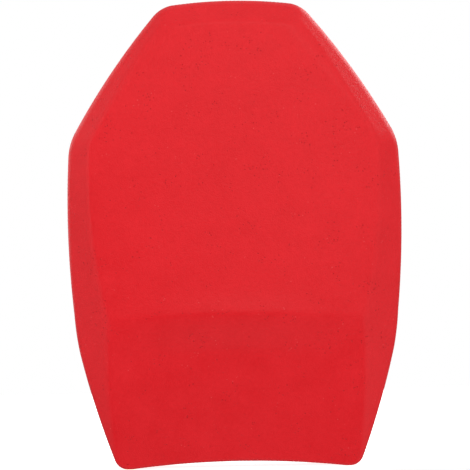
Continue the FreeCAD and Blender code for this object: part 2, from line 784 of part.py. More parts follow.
def export_parts():
    """Write one STEP file for each sub-part."""
    os.makedirs("parts", exist_ok=True)
    for name, item in sorted(nodes.items()):
        shape = item.Shape
        if shape.isNull() or not shape.isValid() or not shape.Solids:
            raise RuntimeError(f"{name} is not a valid solid")
        shape.exportStep(f"parts/{name}.step")
    box = Part.makeCompound([item.Shape for item in nodes.values()]).BoundBox
    print(len(nodes), "sub-parts; box", box)


# ---------------------------------------------------------------- assembly

stack = build_pad()
doc.recompute()
arm = arm_line()
arm_rivets = [build_arm(side_name, side) for side_name, side in SIDES.items()]
upper_rivets = [place for tops, _ in arm_rivets for place in tops]
lower_rivets = [place for _, rings in arm_rivets for place in rings]
all_rivets = build_rivets(upper_rivets, lower_rivets, *build_handles())
open_stack(*stack, all_rivets, build_vents())
check_objects()
export_parts()
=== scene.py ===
"""Looks of a kick shield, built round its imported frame.

The shield is a moulded red foam pad with a black vinyl back. Two padded forearm straps, two upright
hand grips and a carry handle are riveted to the back. Everything is in metres in the frame's own
axes: +Z up, the striking face towards -Y, +X to the right seen from the front.
"""

import json
import logging
import math
from dataclasses import dataclass, field
from enum import Enum
from typing import ClassVar, Protocol

import bmesh
import bpy
import numpy as np
from mathutils import Matrix, Vector


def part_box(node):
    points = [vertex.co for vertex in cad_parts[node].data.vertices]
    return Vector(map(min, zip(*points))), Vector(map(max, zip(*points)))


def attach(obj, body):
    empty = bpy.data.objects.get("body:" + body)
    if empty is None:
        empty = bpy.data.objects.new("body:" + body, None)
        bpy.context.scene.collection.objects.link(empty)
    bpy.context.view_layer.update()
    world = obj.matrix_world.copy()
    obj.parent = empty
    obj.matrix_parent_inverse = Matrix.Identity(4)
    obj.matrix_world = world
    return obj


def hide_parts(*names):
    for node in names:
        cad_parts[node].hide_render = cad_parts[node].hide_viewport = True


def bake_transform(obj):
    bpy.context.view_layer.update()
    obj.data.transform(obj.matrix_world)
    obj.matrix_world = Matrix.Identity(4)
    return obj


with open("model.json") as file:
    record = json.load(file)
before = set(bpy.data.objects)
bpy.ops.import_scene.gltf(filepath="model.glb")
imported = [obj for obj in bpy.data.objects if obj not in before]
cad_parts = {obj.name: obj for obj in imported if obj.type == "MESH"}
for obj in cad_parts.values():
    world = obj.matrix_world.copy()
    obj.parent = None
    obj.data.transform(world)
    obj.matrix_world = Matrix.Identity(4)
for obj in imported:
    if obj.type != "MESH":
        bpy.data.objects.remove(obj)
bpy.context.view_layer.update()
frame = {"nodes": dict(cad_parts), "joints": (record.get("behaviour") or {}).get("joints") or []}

LOG = logging.getLogger("kick_shield")
SIDES = {"left": -1.0, "right": 1.0}
PATCHED = ("arm_patches_left", "arm_patches_right", "grip_patches_left", "grip_patches_right")
Array = np.ndarray
Point = tuple[float, float]
Spot = tuple[float, float, float]
Colour = tuple[float, float, float, float]
Number = "Value | float"
ACROSS = np.array([1.0, 0.0, 0.0])
OUTWARD = np.array([0.0, 1.0, 0.0])
UPWARD = np.array([0.0, 0.0, 1.0])

# ------------------------------------------------------------------ shader expressions


class Value:
    """A number socket that adds Math nodes when it is used in an expression."""

    def __init__(self, shader: "Graph", socket: bpy.types.NodeSocket) -> None:
        """Wrap one output socket of a shader."""
        self.shader = shader
        self.socket = socket

    def _math(self, operation: str, first: Number, second: "Value | float | None" = None) -> "Value":
        """Add one Math node.

        Args:
            operation: the node's operation.
            first: a number or Value.
            second: a number or Value, or None for an operation on one value.

        Returns:
            The node's result.
        """
        inputs = {0: first} if second is None else {0: first, 1: second}
        return self.shader.node("ShaderNodeMath", {"operation": operation}, inputs)

    def __add__(self, other: Number) -> "Value":
        """self + other."""
        return self._math("ADD", self, other)

    __radd__ = __add__

    def __sub__(self, other: Number) -> "Value":
        """self - other."""
        return self._math("SUBTRACT", self, other)

    def __rsub__(self, other: Number) -> "Value":
        """other - self."""
        return self._math("SUBTRACT", other, self)

    def __mul__(self, other: Number) -> "Value":
        """self * other."""
        return self._math("MULTIPLY", self, other)

    __rmul__ = __mul__

    def __abs__(self) -> "Value":
        """abs(self)."""
        return self._math("ABSOLUTE", self)

    def sine(self) -> "Value":
        """Sine of an angle in radians."""
        return self._math("SINE", self)

    def above(self, limit: float) -> "Value":
        """1 where the value is over the limit, else 0."""
        return self._math("GREATER_THAN", self, limit)

    def ramp(self, low: float, high: float) -> "Value":
        """Smooth step from 0 at low to 1 at high; low may be the larger."""
        settings = {"interpolation_type": "SMOOTHSTEP", "clamp": True}
        return self.shader.node("ShaderNodeMapRange", settings, {0: self, 1: low, 2: high})


class Graph:
    """A node tree that is filled in by expressions."""

    def __init__(self, owner: bpy.types.ID) -> None:
        """Clear a node tree.

        Args:
            owner: the material or world that holds it.
        """
        owner.use_nodes = True
        self.tree = owner.node_tree
        self.tree.nodes.clear()

    def _put(self, socket: bpy.types.NodeSocket, value: object) -> None:
        """Fill a socket.

        Args:
            socket: the input to fill.
            value: a Value to link, or a plain number, colour or vector to set.
        """
        if isinstance(value, Value):
            self.tree.links.new(value.socket, socket)
        else:
            socket.default_value = value

    def node(
        self, kind: str, settings: dict | None = None, inputs: dict | None = None, output: int | str | None = 0
    ) -> Value | None:
        """Add any node.

        Args:
            kind: the node's type.
            settings: its properties, set first.
            inputs: values or Values of its sockets, by name or number.
            output: name or number of the output that is returned, or None for a node that has none.

        Returns:
            That output.
        """
        made = self.tree.nodes.new(kind)
        for name, value in (settings or {}).items():
            setattr(made, name, value)
        for key, value in (inputs or {}).items():
            self._put(made.inputs[key], value)
        return None if output is None else Value(self, made.outputs[output])


class Shader(Graph):
    """A material with one Principled surface, filled in by expressions."""

    def __init__(self, name: str, **surface: object) -> None:
        """Start a material.

        Args:
            name: the material's name.
            surface: uniform inputs of the Principled node, by name with _ for a space.
        """
        self.material = bpy.data.materials.new(name)
        super().__init__(self.material)
        self.surface = self.tree.nodes.new("ShaderNodeBsdfPrincipled")
        output = self.tree.nodes.new("ShaderNodeOutputMaterial")
        self.tree.links.new(self.surface.outputs[0], output.inputs[0])
        self.feed(**surface)

    def feed(self, **inputs: object) -> None:
        """Set or link inputs of the Principled node, by name with _ for a space."""
        for name, value in inputs.items():
            self._put(self.surface.inputs[name.replace("_", " ")], value)

    def place(self, scale: Spot = (1.0, 1.0, 1.0)) -> Value:
        """The point on the object, in metres, stretched by a scale."""
        here = self.node("ShaderNodeTexCoord", output="Object")
        return self.node("ShaderNodeMapping", inputs={"Vector": here, "Scale": scale})

    def strip(self) -> tuple[Value, Value]:
        """Read the strip's own map.

        Returns:
            Metres along the strip and metres across it.
        """
        both = self.node("ShaderNodeUVMap", {"uv_map": "strip"})
        along = self.node("ShaderNodeSeparateXYZ", inputs={0: both}, output=0)
        across = Value(self, along.socket.node.outputs[1])
        return along, across

    def noise(self, scale: float, detail: float = 2.0, where: Value | None = None) -> Value:
        """Noise from 0 to 1; the scale is in features for each metre."""
        inputs = {"Vector": where or self.place(), "Scale": scale, "Detail": detail}
        return self.node("ShaderNodeTexNoise", inputs=inputs)

    def cells(self, scale: float, where: Value | None = None) -> Value:
        """Distance to the middle of the nearest cell; the scale is in cells for each metre."""
        inputs = {"Vector": where or self.place(), "Scale": scale}
        return self.node("ShaderNodeTexVoronoi", inputs=inputs, output="Distance")

    def mix(self, share: Number, first: Value | Colour, second: Value | Colour) -> Value:
        """Blend two colours.

        Args:
            share: 0 for the first colour, 1 for the second.
            first: colour tuple or Value.
            second: colour tuple or Value.

        Returns:
            The blended colour.
        """
        inputs = {0: share, 6: first, 7: second}
        return self.node("ShaderNodeMix", {"data_type": "RGBA"}, inputs, output=2)

    def bump(self, height: Value, distance: float, strength: float = 1.0) -> None:
        """Feed the surface a bump.

        Args:
            height: relief from 0 to 1.
            distance: metres that 1 stands for.
            strength: how much of it shows.
        """
        inputs = {"Height": height, "Distance": distance, "Strength": strength}
        self.feed(Normal=self.node("ShaderNodeBump", inputs=inputs))


def rgb(red: float, green: float, blue: float) -> Colour:
    """Opaque linear colour."""
    return (red, green, blue, 1.0)


# ------------------------------------------------------------------ finishes


class Finish(Protocol):
    """Anything that makes its own material."""

    def material(self) -> bpy.types.Material:
        """Make the material."""


@dataclass(frozen=True)
class MouldedSkin:
    """Satin red integral skin with pinholes, faint mottling, broad patches of painted light and shade, and a
    fine moulded grain.
    """

    colour: Colour = rgb(0.735, 0.0112, 0.0180)
    # deep: the darker red that the tone leans to; it carries the skin's own mottling and also the painted shade
    # of the broad patches.
    deep: Colour = rgb(0.650, 0.0066, 0.0115)
    roughness: float = 0.44

    def material(self) -> bpy.types.Material:
        """Make the skin's material.

        Returns:
            The material.
        """
        s = Shader("red_moulded_skin", Specular_IOR_Level=0.21)
        # broad: wide patches, some 14 cm across, of painted light and shade that stand in for the face's
        # shading; not a colour of the skin.
        broad = s.noise(7.0, 4.0)
        patch = s.noise(38.0, 4.0)
        fine = s.noise(210.0, 3.0)
        grain = s.noise(720.0, 3.0)
        pits = s.cells(260.0).ramp(0.24, 0.10) * s.noise(47.0, 1.0).ramp(0.54, 0.62)
        motes = s.cells(210.0).ramp(0.20, 0.08) * s.noise(61.0, 1.0).ramp(0.60, 0.68)
        # tone: painted light and shade from the broad patches, mixed with the skin's own mottling (patch, fine)
        # and grain.
        tone = (broad + patch + fine - 1.5) * 0.9 + (grain - 0.5) * 0.8 + 0.5
        base = s.mix(tone, self.deep, self.colour)
        base = s.mix(pits * 0.45, base, rgb(0.30, 0.004, 0.006))
        base = s.mix(motes * 0.20, base, rgb(0.90, 0.22, 0.22))
        s.feed(Base_Color=base, Roughness=self.roughness + (patch - 0.5) * 0.16 + pits * 0.2)
        s.bump(grain * 0.7 + fine * 0.3 - pits * 0.9, 0.00075, 0.8)
        return s.material


@dataclass(frozen=True)
class Foam:
    """Cut foam block with open or closed cells."""

    name: str
    colour: Colour
    cell: float = 900.0

    def material(self) -> bpy.types.Material:
        """Make the foam's material.

        Returns:
            The material.
        """
        s = Shader(self.name, Specular_IOR_Level=0.2)
        holes = s.cells(self.cell).ramp(0.5, 0.1)
        patch = s.noise(24.0, 3.0)
        dark = tuple(c * 0.45 for c in self.colour[:3]) + (1.0,)
        base = s.mix(holes * 0.7 + patch * 0.2, self.colour, dark)
        s.feed(Base_Color=base, Roughness=0.95 - patch * 0.1)
        s.bump(1.0 - holes, 0.0006, 0.8)
        return s.material


@dataclass(frozen=True)
class SheetPlastic:
    """Extruded plastic board with faint drawing lines."""

    colour: Colour = rgb(0.62, 0.62, 0.60)

    def material(self) -> bpy.types.Material:
        """Make the board's material.

        Returns:
            The material.
        """
        s = Shader("board_plastic")
        lines = s.noise(60.0, 3.0, s.place((40.0, 1.0, 1.0)))
        s.feed(Base_Color=s.mix(lines, self.colour, rgb(0.54, 0.54, 0.53)), Roughness=0.42 + lines * 0.12)
        s.bump(lines, 0.0001, 0.5)
        return s.material


@dataclass(frozen=True)
class GrainedVinyl:
    """Leather-grained vinyl sheet, a little worn on its high spots."""

    name: str
    colour: Colour = rgb(0.020, 0.020, 0.022)
    grain: float = 620.0
    roughness: float = 0.46

    def material(self) -> bpy.types.Material:
        """Make the vinyl's material.

        Returns:
            The material.
        """
        s = Shader(self.name, Specular_IOR_Level=0.5)
        edges = s.cells(self.grain).ramp(0.05, 0.55)
        fine = s.noise(self.grain * 3.0, 2.0)
        broad = s.noise(16.0, 4.0)
        scuff = s.noise(70.0, 5.0, s.place((1.0, 1.0, 3.0))).ramp(0.62, 0.78)
        lighter = tuple(c * 2.6 + 0.012 for c in self.colour[:3]) + (1.0,)
        base = s.mix(scuff * 0.45 + broad * 0.25, self.colour, lighter)
        s.feed(Base_Color=base, Roughness=self.roughness + broad * 0.16 + scuff * 0.12 - edges * 0.08)
        s.bump(edges * 0.75 + fine * 0.25, 0.00035, 0.6)
        return s.material


class Weave(Enum):
    """Ways that a strip is woven."""

    RIBBED = "ribbed"
    TAPE = "tape"


@dataclass(frozen=True)
class Webbing:
    """Woven strip: warp ribs along it, weft across, and a tight selvedge."""

    name: str
    weave: Weave = Weave.RIBBED
    colour: Colour = rgb(0.017, 0.017, 0.019)
    width: float = 0.050

    def material(self) -> bpy.types.Material:
        """Make the webbing's material.

        Returns:
            The material.
        """
        s = Shader(self.name, Specular_IOR_Level=0.35, Sheen_Weight=0.25, Sheen_Roughness=0.5)
        along, across = s.strip()
        rib, pick = (0.0022, 0.0017) if self.weave is Weave.RIBBED else (0.0011, 0.0012)
        warp = (across * (2 * math.pi / rib)).sine()
        phase = warp.above(0.0) * math.pi + along * (2 * math.pi / pick)
        float_over = phase.sine() * 0.5 + 0.5
        threads = (across * (2 * math.pi / (rib / 4))).sine() * 0.5 + 0.5
        relief = float_over * 0.6 + abs(warp) * 0.3 + threads * 0.1
        wear = s.noise(55.0, 4.0)
        fuzz = s.noise(1400.0, 2.0)
        selvedge = abs(across).ramp(self.width / 2 - 0.0022, self.width / 2 - 0.0010)
        light = tuple(c * 3.4 + 0.010 for c in self.colour[:3]) + (1.0,)
        base = s.mix(relief * 0.45 * wear + fuzz * 0.12 + selvedge * 0.12, self.colour, light)
        s.feed(Base_Color=base, Roughness=0.78 + wear * 0.14 - relief * 0.10)
        s.bump(relief * (1.0 - selvedge * 0.6) + fuzz * 0.1, 0.00040, 0.8)
        return s.material


@dataclass(frozen=True)
class PadCloth:
    """Brushed knit cloth over soft foam."""

    colour: Colour = rgb(0.026, 0.026, 0.029)

    def material(self) -> bpy.types.Material:
        """Make the cloth's material.

        Returns:
            The material.
        """
        s = Shader("pad_cloth", Specular_IOR_Level=0.25, Sheen_Weight=0.45, Sheen_Roughness=0.4)
        knit = s.cells(1150.0, s.place((1.0, 1.0, 0.62))).ramp(0.1, 0.6)
        pile = s.noise(420.0, 4.0)
        broad = s.noise(22.0, 3.0)
        light = rgb(0.075, 0.075, 0.080)
        s.feed(Base_Color=s.mix(knit * 0.35 + broad * 0.3, self.colour, light), Roughness=0.86 + broad * 0.1)
        s.bump(knit * 0.7 + pile * 0.3, 0.00045, 0.8)
        return s.material


class Half(Enum):
    """Halves of a hook-and-loop closure."""

    HOOK = 1700.0
    LOOP = 900.0


@dataclass(frozen=True)
class HookAndLoop:
    """Stiff hooks or soft loops on a tape."""

    half: Half

    def material(self) -> bpy.types.Material:
        """Make the tape's material.

        Returns:
            The material.
        """
        s = Shader(f"tape_{self.half.name.lower()}", Specular_IOR_Level=0.3, Sheen_Weight=0.5)
        tufts = s.cells(self.half.value).ramp(0.6, 0.1)
        tangle = s.noise(self.half.value * 1.6, 4.0)
        relief = tufts * 0.5 + tangle * 0.5
        base = s.mix(relief, rgb(0.010, 0.010, 0.011), rgb(0.060, 0.060, 0.064))
        s.feed(Base_Color=base, Roughness=0.9 - tufts * 0.1)
        s.bump(relief, 0.0008, 0.9)
        return s.material


@dataclass(frozen=True)
class PlatedSteel:
    """Bright plated steel with fine scratches and dulled patches."""

    colour: Colour = rgb(0.60, 0.60, 0.62)

    def material(self) -> bpy.types.Material:
        """Make the steel's material.

        Returns:
            The material.
        """
        s = Shader("plated_steel", Metallic=1.0)
        dull = s.noise(130.0, 4.0)
        scratch = s.noise(900.0, 3.0, s.place((1.0, 6.0, 1.0)))
        s.feed(Base_Color=s.mix(dull * 0.6, self.colour, rgb(0.46, 0.46, 0.47)), Roughness=0.20 + dull * 0.2)
        s.bump(scratch, 0.00006, 0.5)
        return s.material


@dataclass(frozen=True)
class MouldedRubber:
    """Matt black rubber with a fine stipple."""

    def material(self) -> bpy.types.Material:
        """Make the rubber's material.

        Returns:
            The material.
        """
        s = Shader("tab_rubber", Specular_IOR_Level=0.4)
        stipple = s.noise(1500.0, 2.0)
        dust = s.noise(45.0, 4.0)
        base = s.mix(dust * 0.5, rgb(0.014, 0.014, 0.014), rgb(0.04, 0.04, 0.04))
        s.feed(Base_Color=base, Roughness=0.62 + dust * 0.2)
        s.bump(stipple, 0.00012, 0.7)
        return s.material


@dataclass(frozen=True)
class Thread:
    """Twisted bonded sewing thread."""

    colour: Colour = rgb(0.030, 0.030, 0.033)

    def material(self) -> bpy.types.Material:
        """Make the thread's material.

        Returns:
            The material.
        """
        s = Shader("sewing_thread", Specular_IOR_Level=0.45, Sheen_Weight=0.2)
        twist = s.noise(1800.0, 2.0)
        s.feed(Base_Color=s.mix(twist, self.colour, rgb(0.09, 0.09, 0.095)), Roughness=0.55 + twist * 0.2)
        s.bump(twist, 0.00015, 0.6)
        return s.material


@dataclass(frozen=True)
class StudioPaper:
    """Matt white background paper."""

    tone: float = 0.80
    lift: float = 0.90

    def material(self) -> bpy.types.Material:
        """Make the paper's material.

        Returns:
            The material.
        """
        glow = {"Emission_Color": rgb(1.0, 1.0, 1.0), "Emission_Strength": self.lift}
        s = Shader("studio_paper", Specular_IOR_Level=0.0, **glow)
        fibre = s.noise(9.0, 3.0)
        low, high = (rgb(tone, tone, tone) for tone in (self.tone - 0.015, self.tone))
        s.feed(Base_Color=s.mix(fibre, low, high), Roughness=0.95)
        return s.material


# ------------------------------------------------------------------ mesh tools


@dataclass
class Mesh:
    """Vertices, faces and an optional strip map, gathered before an object is made."""

    points: list = field(default_factory=list)
    faces: list = field(default_factory=list)
    strip: list = field(default_factory=list)

    def add(self, points: Array, faces: list, strip: Array | None = None) -> None:
        """Append a block.

        Args:
            points: its points, N by 3.
            faces: the faces that use them, by number within the block.
            strip: metres along and across its strip, N by 2, if it is one.
        """
        start = sum(len(block) for block in self.points)
        self.points.append(points)
        self.faces += [tuple(i + start for i in face) for face in faces]
        if strip is not None:
            self.strip.append(strip)

    def build(
        self, name: str, material: bpy.types.Material, slot: str, body: str | None, merge: bool = False
    ) -> bpy.types.Object:
        """Make the object.

        Args:
            name: the piece's name.
            material: its material.
            slot: the record's slot name; not used.
            body: the CAD body that it rides on, or None to leave it unattached.
            merge: weld points that coincide.

        Returns:
            The new object.
        """
        data = bpy.data.meshes.new(name)
        points = np.concatenate(self.points)
        data.from_pydata(points.tolist(), [], self.faces)
        if self.strip:
            layer = data.uv_layers.new(name="strip")
            corners = np.empty(len(data.loops), np.int32)
            data.loops.foreach_get("vertex_index", corners)
            layer.data.foreach_set("uv", np.concatenate(self.strip)[corners].astype(np.float32).ravel())
        shape = bmesh.new()
        shape.from_mesh(data)
        if merge:
            bmesh.ops.remove_doubles(shape, verts=shape.verts, dist=1e-6)
        bmesh.ops.recalc_face_normals(shape, faces=shape.faces)
        shape.to_mesh(data)
        shape.free()
        data.polygons.foreach_set("use_smooth", np.ones(len(data.polygons), bool))
        data.materials.append(material)
        data.update()
        made = bpy.data.objects.new(name, data)
        bpy.context.scene.collection.objects.link(made)
        if body is not None:
            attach(made, body)
        LOG.info("%s: %d points, %d faces", name, len(points), len(self.faces))
        return made


def smooth_step(value: Array, low: float, high: float) -> Array:
    """0 below low, 1 above high, with a smooth turn between; low may be the larger."""
    share = np.clip((value - low) / (high - low), 0.0, 1.0)
    return share * share * (3.0 - 2.0 * share)


def soft_lowest(first: Array, second: Array, blend: float) -> Array:
    """The lower of two surfaces, with their crease rounded over about `blend` metres."""
    near = np.maximum(blend - np.abs(first - second), 0.0) / blend
    return np.minimum(first, second) - near * near * blend / 4.0


def arc_through(first: Point, middle: Point, last: Point, count: int) -> tuple[Array, Array, float]:
    """Points on the arc through three points.

    Args:
        first: start of the arc.
        middle: a point between its ends.
        last: end of the arc.
        count: number of points.

    Returns:
        The points, the arc's centre and its radius.
    """
    a, b, c = (np.array(p, float) for p in (first, middle, last))
    left, right = b - a, c - a
    twice = 2.0 * (left[0] * right[1] - left[1] * right[0])
    centre = a + np.array([
        right[1] * (left @ left) - left[1] * (right @ right),
        left[0] * (right @ right) - right[0] * (left @ left),
    ]) / twice
    turn = [math.atan2(*(p - centre)[::-1]) for p in (a, b, c)]
    half = (turn[1] - turn[0] + math.pi) % (2 * math.pi) - math.pi
    rest = (turn[2] - turn[1] + math.pi) % (2 * math.pi) - math.pi
    angles = turn[0] + (half + rest) * np.linspace(0.0, 1.0, count)
    radius = float(np.linalg.norm(a - centre))
    return centre + radius * np.column_stack([np.cos(angles), np.sin(angles)]), centre, radius


def filleted(points: list, radii: list, step: float = 0.0012) -> Array:
    """Polyline with rounded inner corners, as evenly spaced points.

    Args:
        points: the corners, two numbers each.
        radii: a radius for each inner corner.
        step: spacing along the line in metres.

    Returns:
        The points, N by 2.
    """
    corners = [np.array(p, float) for p in points]
    line = [corners[0]]
    for before, corner, after, radius in zip(corners, corners[1:], corners[2:], radii):
        back, ahead = before - corner, after - corner
        back, ahead = back / np.linalg.norm(back), ahead / np.linalg.norm(ahead)
        half = math.acos(np.clip(back @ ahead, -1, 1)) / 2
        reach = radius / math.tan(half)
        inward = (back + ahead) / np.linalg.norm(back + ahead)
        centre = corner + inward * radius / math.sin(half)
        start, end = corner + back * reach, corner + ahead * reach
        middle = centre - inward * radius
        line += list(arc_through(start, middle, end, 24)[0])
    line.append(corners[-1])
    return evenly(np.array(line), step)


def run_along(line: Array) -> Array:
    """Distance along a line at each of its points."""
    return np.concatenate([[0.0], np.cumsum(np.linalg.norm(np.diff(line, axis=0), axis=1))])


def at_depth(flat: Array, y: float | Array) -> Array:
    """Points of the front view, N by 2, as points in space at a depth."""
    return np.column_stack([flat[:, 0], np.full(len(flat), y), flat[:, 1]])


def evenly(line: Array, step: float) -> Array:
    """Space the points of a line evenly.

    Args:
        line: the points, N by 2 or N by 3.
        step: the spacing wanted in metres.

    Returns:
        Points on the same line, about that far apart.
    """
    gaps = np.linalg.norm(np.diff(line, axis=0), axis=1)
    line = line[np.concatenate([[True], gaps > 1e-9])]
    run = run_along(line)
    places = np.linspace(0.0, run[-1], max(2, int(round(run[-1] / step)) + 1))
    return np.column_stack([np.interp(places, run, line[:, i]) for i in range(line.shape[1])])


def tangents(line: Array) -> Array:
    """Unit direction along a line at each point."""
    along = np.gradient(line, axis=0)
    return along / np.linalg.norm(along, axis=1)[:, None]


def squared_ring(count: int, across: float, up: float) -> Array:
    """A round of points pushed out towards a square.

    Args:
        count: number of points.
        across: power that squares its width; 1 leaves it round and 0 makes it square.
        up: the same for its height.

    Returns:
        The points, from -1 to 1 both ways.
    """
    turn = np.linspace(0.0, 2 * math.pi, count, endpoint=False)
    spread, rise = np.cos(turn), np.sin(turn)
    return np.column_stack([np.sign(spread) * np.abs(spread) ** across, np.sign(rise) * np.abs(rise) ** up])


def tape_section(width: float, thickness: float, count: int = 26) -> Array:
    """Closed section of a strip with rounded edges, as across and up coordinates."""
    return squared_ring(count, 0.55, 0.4) * (width / 2, thickness / 2)


def sweep(line: Array, up: Array, side: Array, section: Array, mesh: Mesh) -> None:
    """Sweep a section along a line with closed ends.

    Args:
        line: centre points, N by 3.
        up: the section's up direction at each point, N by 3.
        side: the section's across direction, 3 numbers or N by 3.
        section: M by 2, or N by M by 2 where it changes along the line.
        mesh: what the surface is added to.
    """
    count = len(line)
    if section.ndim == 2:
        section = np.broadcast_to(section, (count, *section.shape))
    across = np.broadcast_to(side, (count, 3))
    ring = section.shape[1]
    points = line[:, None] + across[:, None] * section[..., :1] + up[:, None] * section[..., 1:]
    run = run_along(line)
    strip = np.stack([np.broadcast_to(run[:, None], (count, ring)), section[..., 0]], axis=-1)
    faces = []
    for i in range(count - 1):
        low, high = i * ring, (i + 1) * ring
        faces += [(low + j, low + (j + 1) % ring, high + (j + 1) % ring, high + j) for j in range(ring)]
    faces.append(tuple(reversed(range(ring))))
    faces.append(tuple(range((count - 1) * ring, count * ring)))
    mesh.add(points.reshape(-1, 3), faces, strip.reshape(-1, 2))


def loft(rings: Array, mesh: Mesh, strip: Array | None = None, cap: bool = False) -> None:
    """Join closed rings of equal length.

    Args:
        rings: N by M by 3.
        mesh: what the surface is added to.
        strip: N by M by 2 strip coordinates, if any.
        cap: close the last ring with one face.
    """
    count, ring = rings.shape[:2]
    index = np.arange(count * ring).reshape(count, ring)
    ahead = np.roll(index, -1, axis=1)
    quads = np.stack([index[:-1], ahead[:-1], ahead[1:], index[1:]], axis=-1).reshape(-1, 4)
    faces = quads.tolist() + ([index[-1].tolist()] if cap else [])
    mesh.add(rings.reshape(-1, 3), faces, None if strip is None else strip.reshape(-1, 2))


@dataclass
class Stitching:
    """Rows of sewn thread, each stitch a short bead that dips into the cloth at its ends."""

    pitch: float = 0.0036
    thread: float = 0.00042
    cover: float = 0.76
    mesh: Mesh = field(default_factory=Mesh)

    def row(self, line: Array, up: Array) -> None:
        """Sew along a line.

        Args:
            line: points on the surface, N by 3.
            up: the surface's outward direction, 3 numbers or N by 3.
        """
        run = run_along(line)
        if run[-1] < self.pitch:
            return
        count = int(run[-1] / self.pitch)
        starts = (np.arange(count) + 0.12) * run[-1] / count
        ups = np.broadcast_to(up, line.shape)
        turn = np.linspace(0, 2 * math.pi, 6, endpoint=False)
        shares = np.array([0.0, 0.22, 0.5, 0.78, 1.0])
        swell = np.array([0.25, 0.9, 1.0, 0.9, 0.25])
        lift = np.array([-0.6, 0.25, 0.55, 0.25, -0.6])
        for start in starts:
            places = start + shares * self.pitch * self.cover
            middle = np.column_stack([np.interp(places, run, line[:, i]) for i in range(3)])
            out = np.column_stack([np.interp(places, run, ups[:, i]) for i in range(3)])
            along = middle[-1] - middle[0]
            side = np.cross(along / np.linalg.norm(along), out)
            circle = side[:, None] * np.cos(turn)[None, :, None] + out[:, None] * np.sin(turn)[None, :, None]
            bead = (middle + out * (lift * self.thread)[:, None])[:, None]
            loft(bead + circle * (swell * self.thread)[:, None, None], self.mesh)

    def boxed(self, centre: Array, side: Array, along: Array, up: Array, half: Point) -> None:
        """Sew a rectangle.

        Args:
            centre: its middle on the surface.
            side: unit direction across.
            along: unit direction along.
            up: the surface's outward direction.
            half: half sizes across and along.
        """
        signs = ((-1, -1), (1, -1), (1, 1), (-1, 1))
        corners = [centre + side * x * half[0] + along * z * half[1] for x, z in signs]
        share = np.linspace(0, 1, 12)[:, None]
        for first, last in zip(corners, corners[1:] + corners[:1]):
            self.row(first * (1 - share) + last * share, up)


# ------------------------------------------------------------------ the object's parts


def made_of(finish: Finish) -> bpy.types.Material:
    """A field that holds a finish's material, made when its object is."""
    return field(default_factory=finish.material)


@dataclass
class Finishes:
    """Every material of the shield, made once."""

    skin: bpy.types.Material = made_of(MouldedSkin())
    foam: bpy.types.Material = made_of(Foam("tube_foam", rgb(0.05, 0.05, 0.052)))
    board: bpy.types.Material = made_of(SheetPlastic())
    cover: bpy.types.Material = made_of(GrainedVinyl("cover_vinyl"))
    patch: bpy.types.Material = made_of(GrainedVinyl("patch_vinyl", rgb(0.013, 0.013, 0.014), 900.0, 0.52))
    grip: bpy.types.Material = made_of(GrainedVinyl("grip_vinyl", rgb(0.017, 0.017, 0.018), 1100.0, 0.40))
    binding: bpy.types.Material = made_of(Webbing("binding_tape", Weave.TAPE, rgb(0.014, 0.014, 0.015), 0.0156))
    web: bpy.types.Material = made_of(Webbing("strap_webbing"))
    handle_web: bpy.types.Material = made_of(Webbing("handle_webbing", width=0.022))
    cloth: bpy.types.Material = made_of(PadCloth())
    hook: bpy.types.Material = made_of(HookAndLoop(Half.HOOK))
    loop: bpy.types.Material = made_of(HookAndLoop(Half.LOOP))
    steel: bpy.types.Material = made_of(PlatedSteel())
    rubber: bpy.types.Material = made_of(MouldedRubber())
    thread: bpy.types.Material = made_of(Thread())


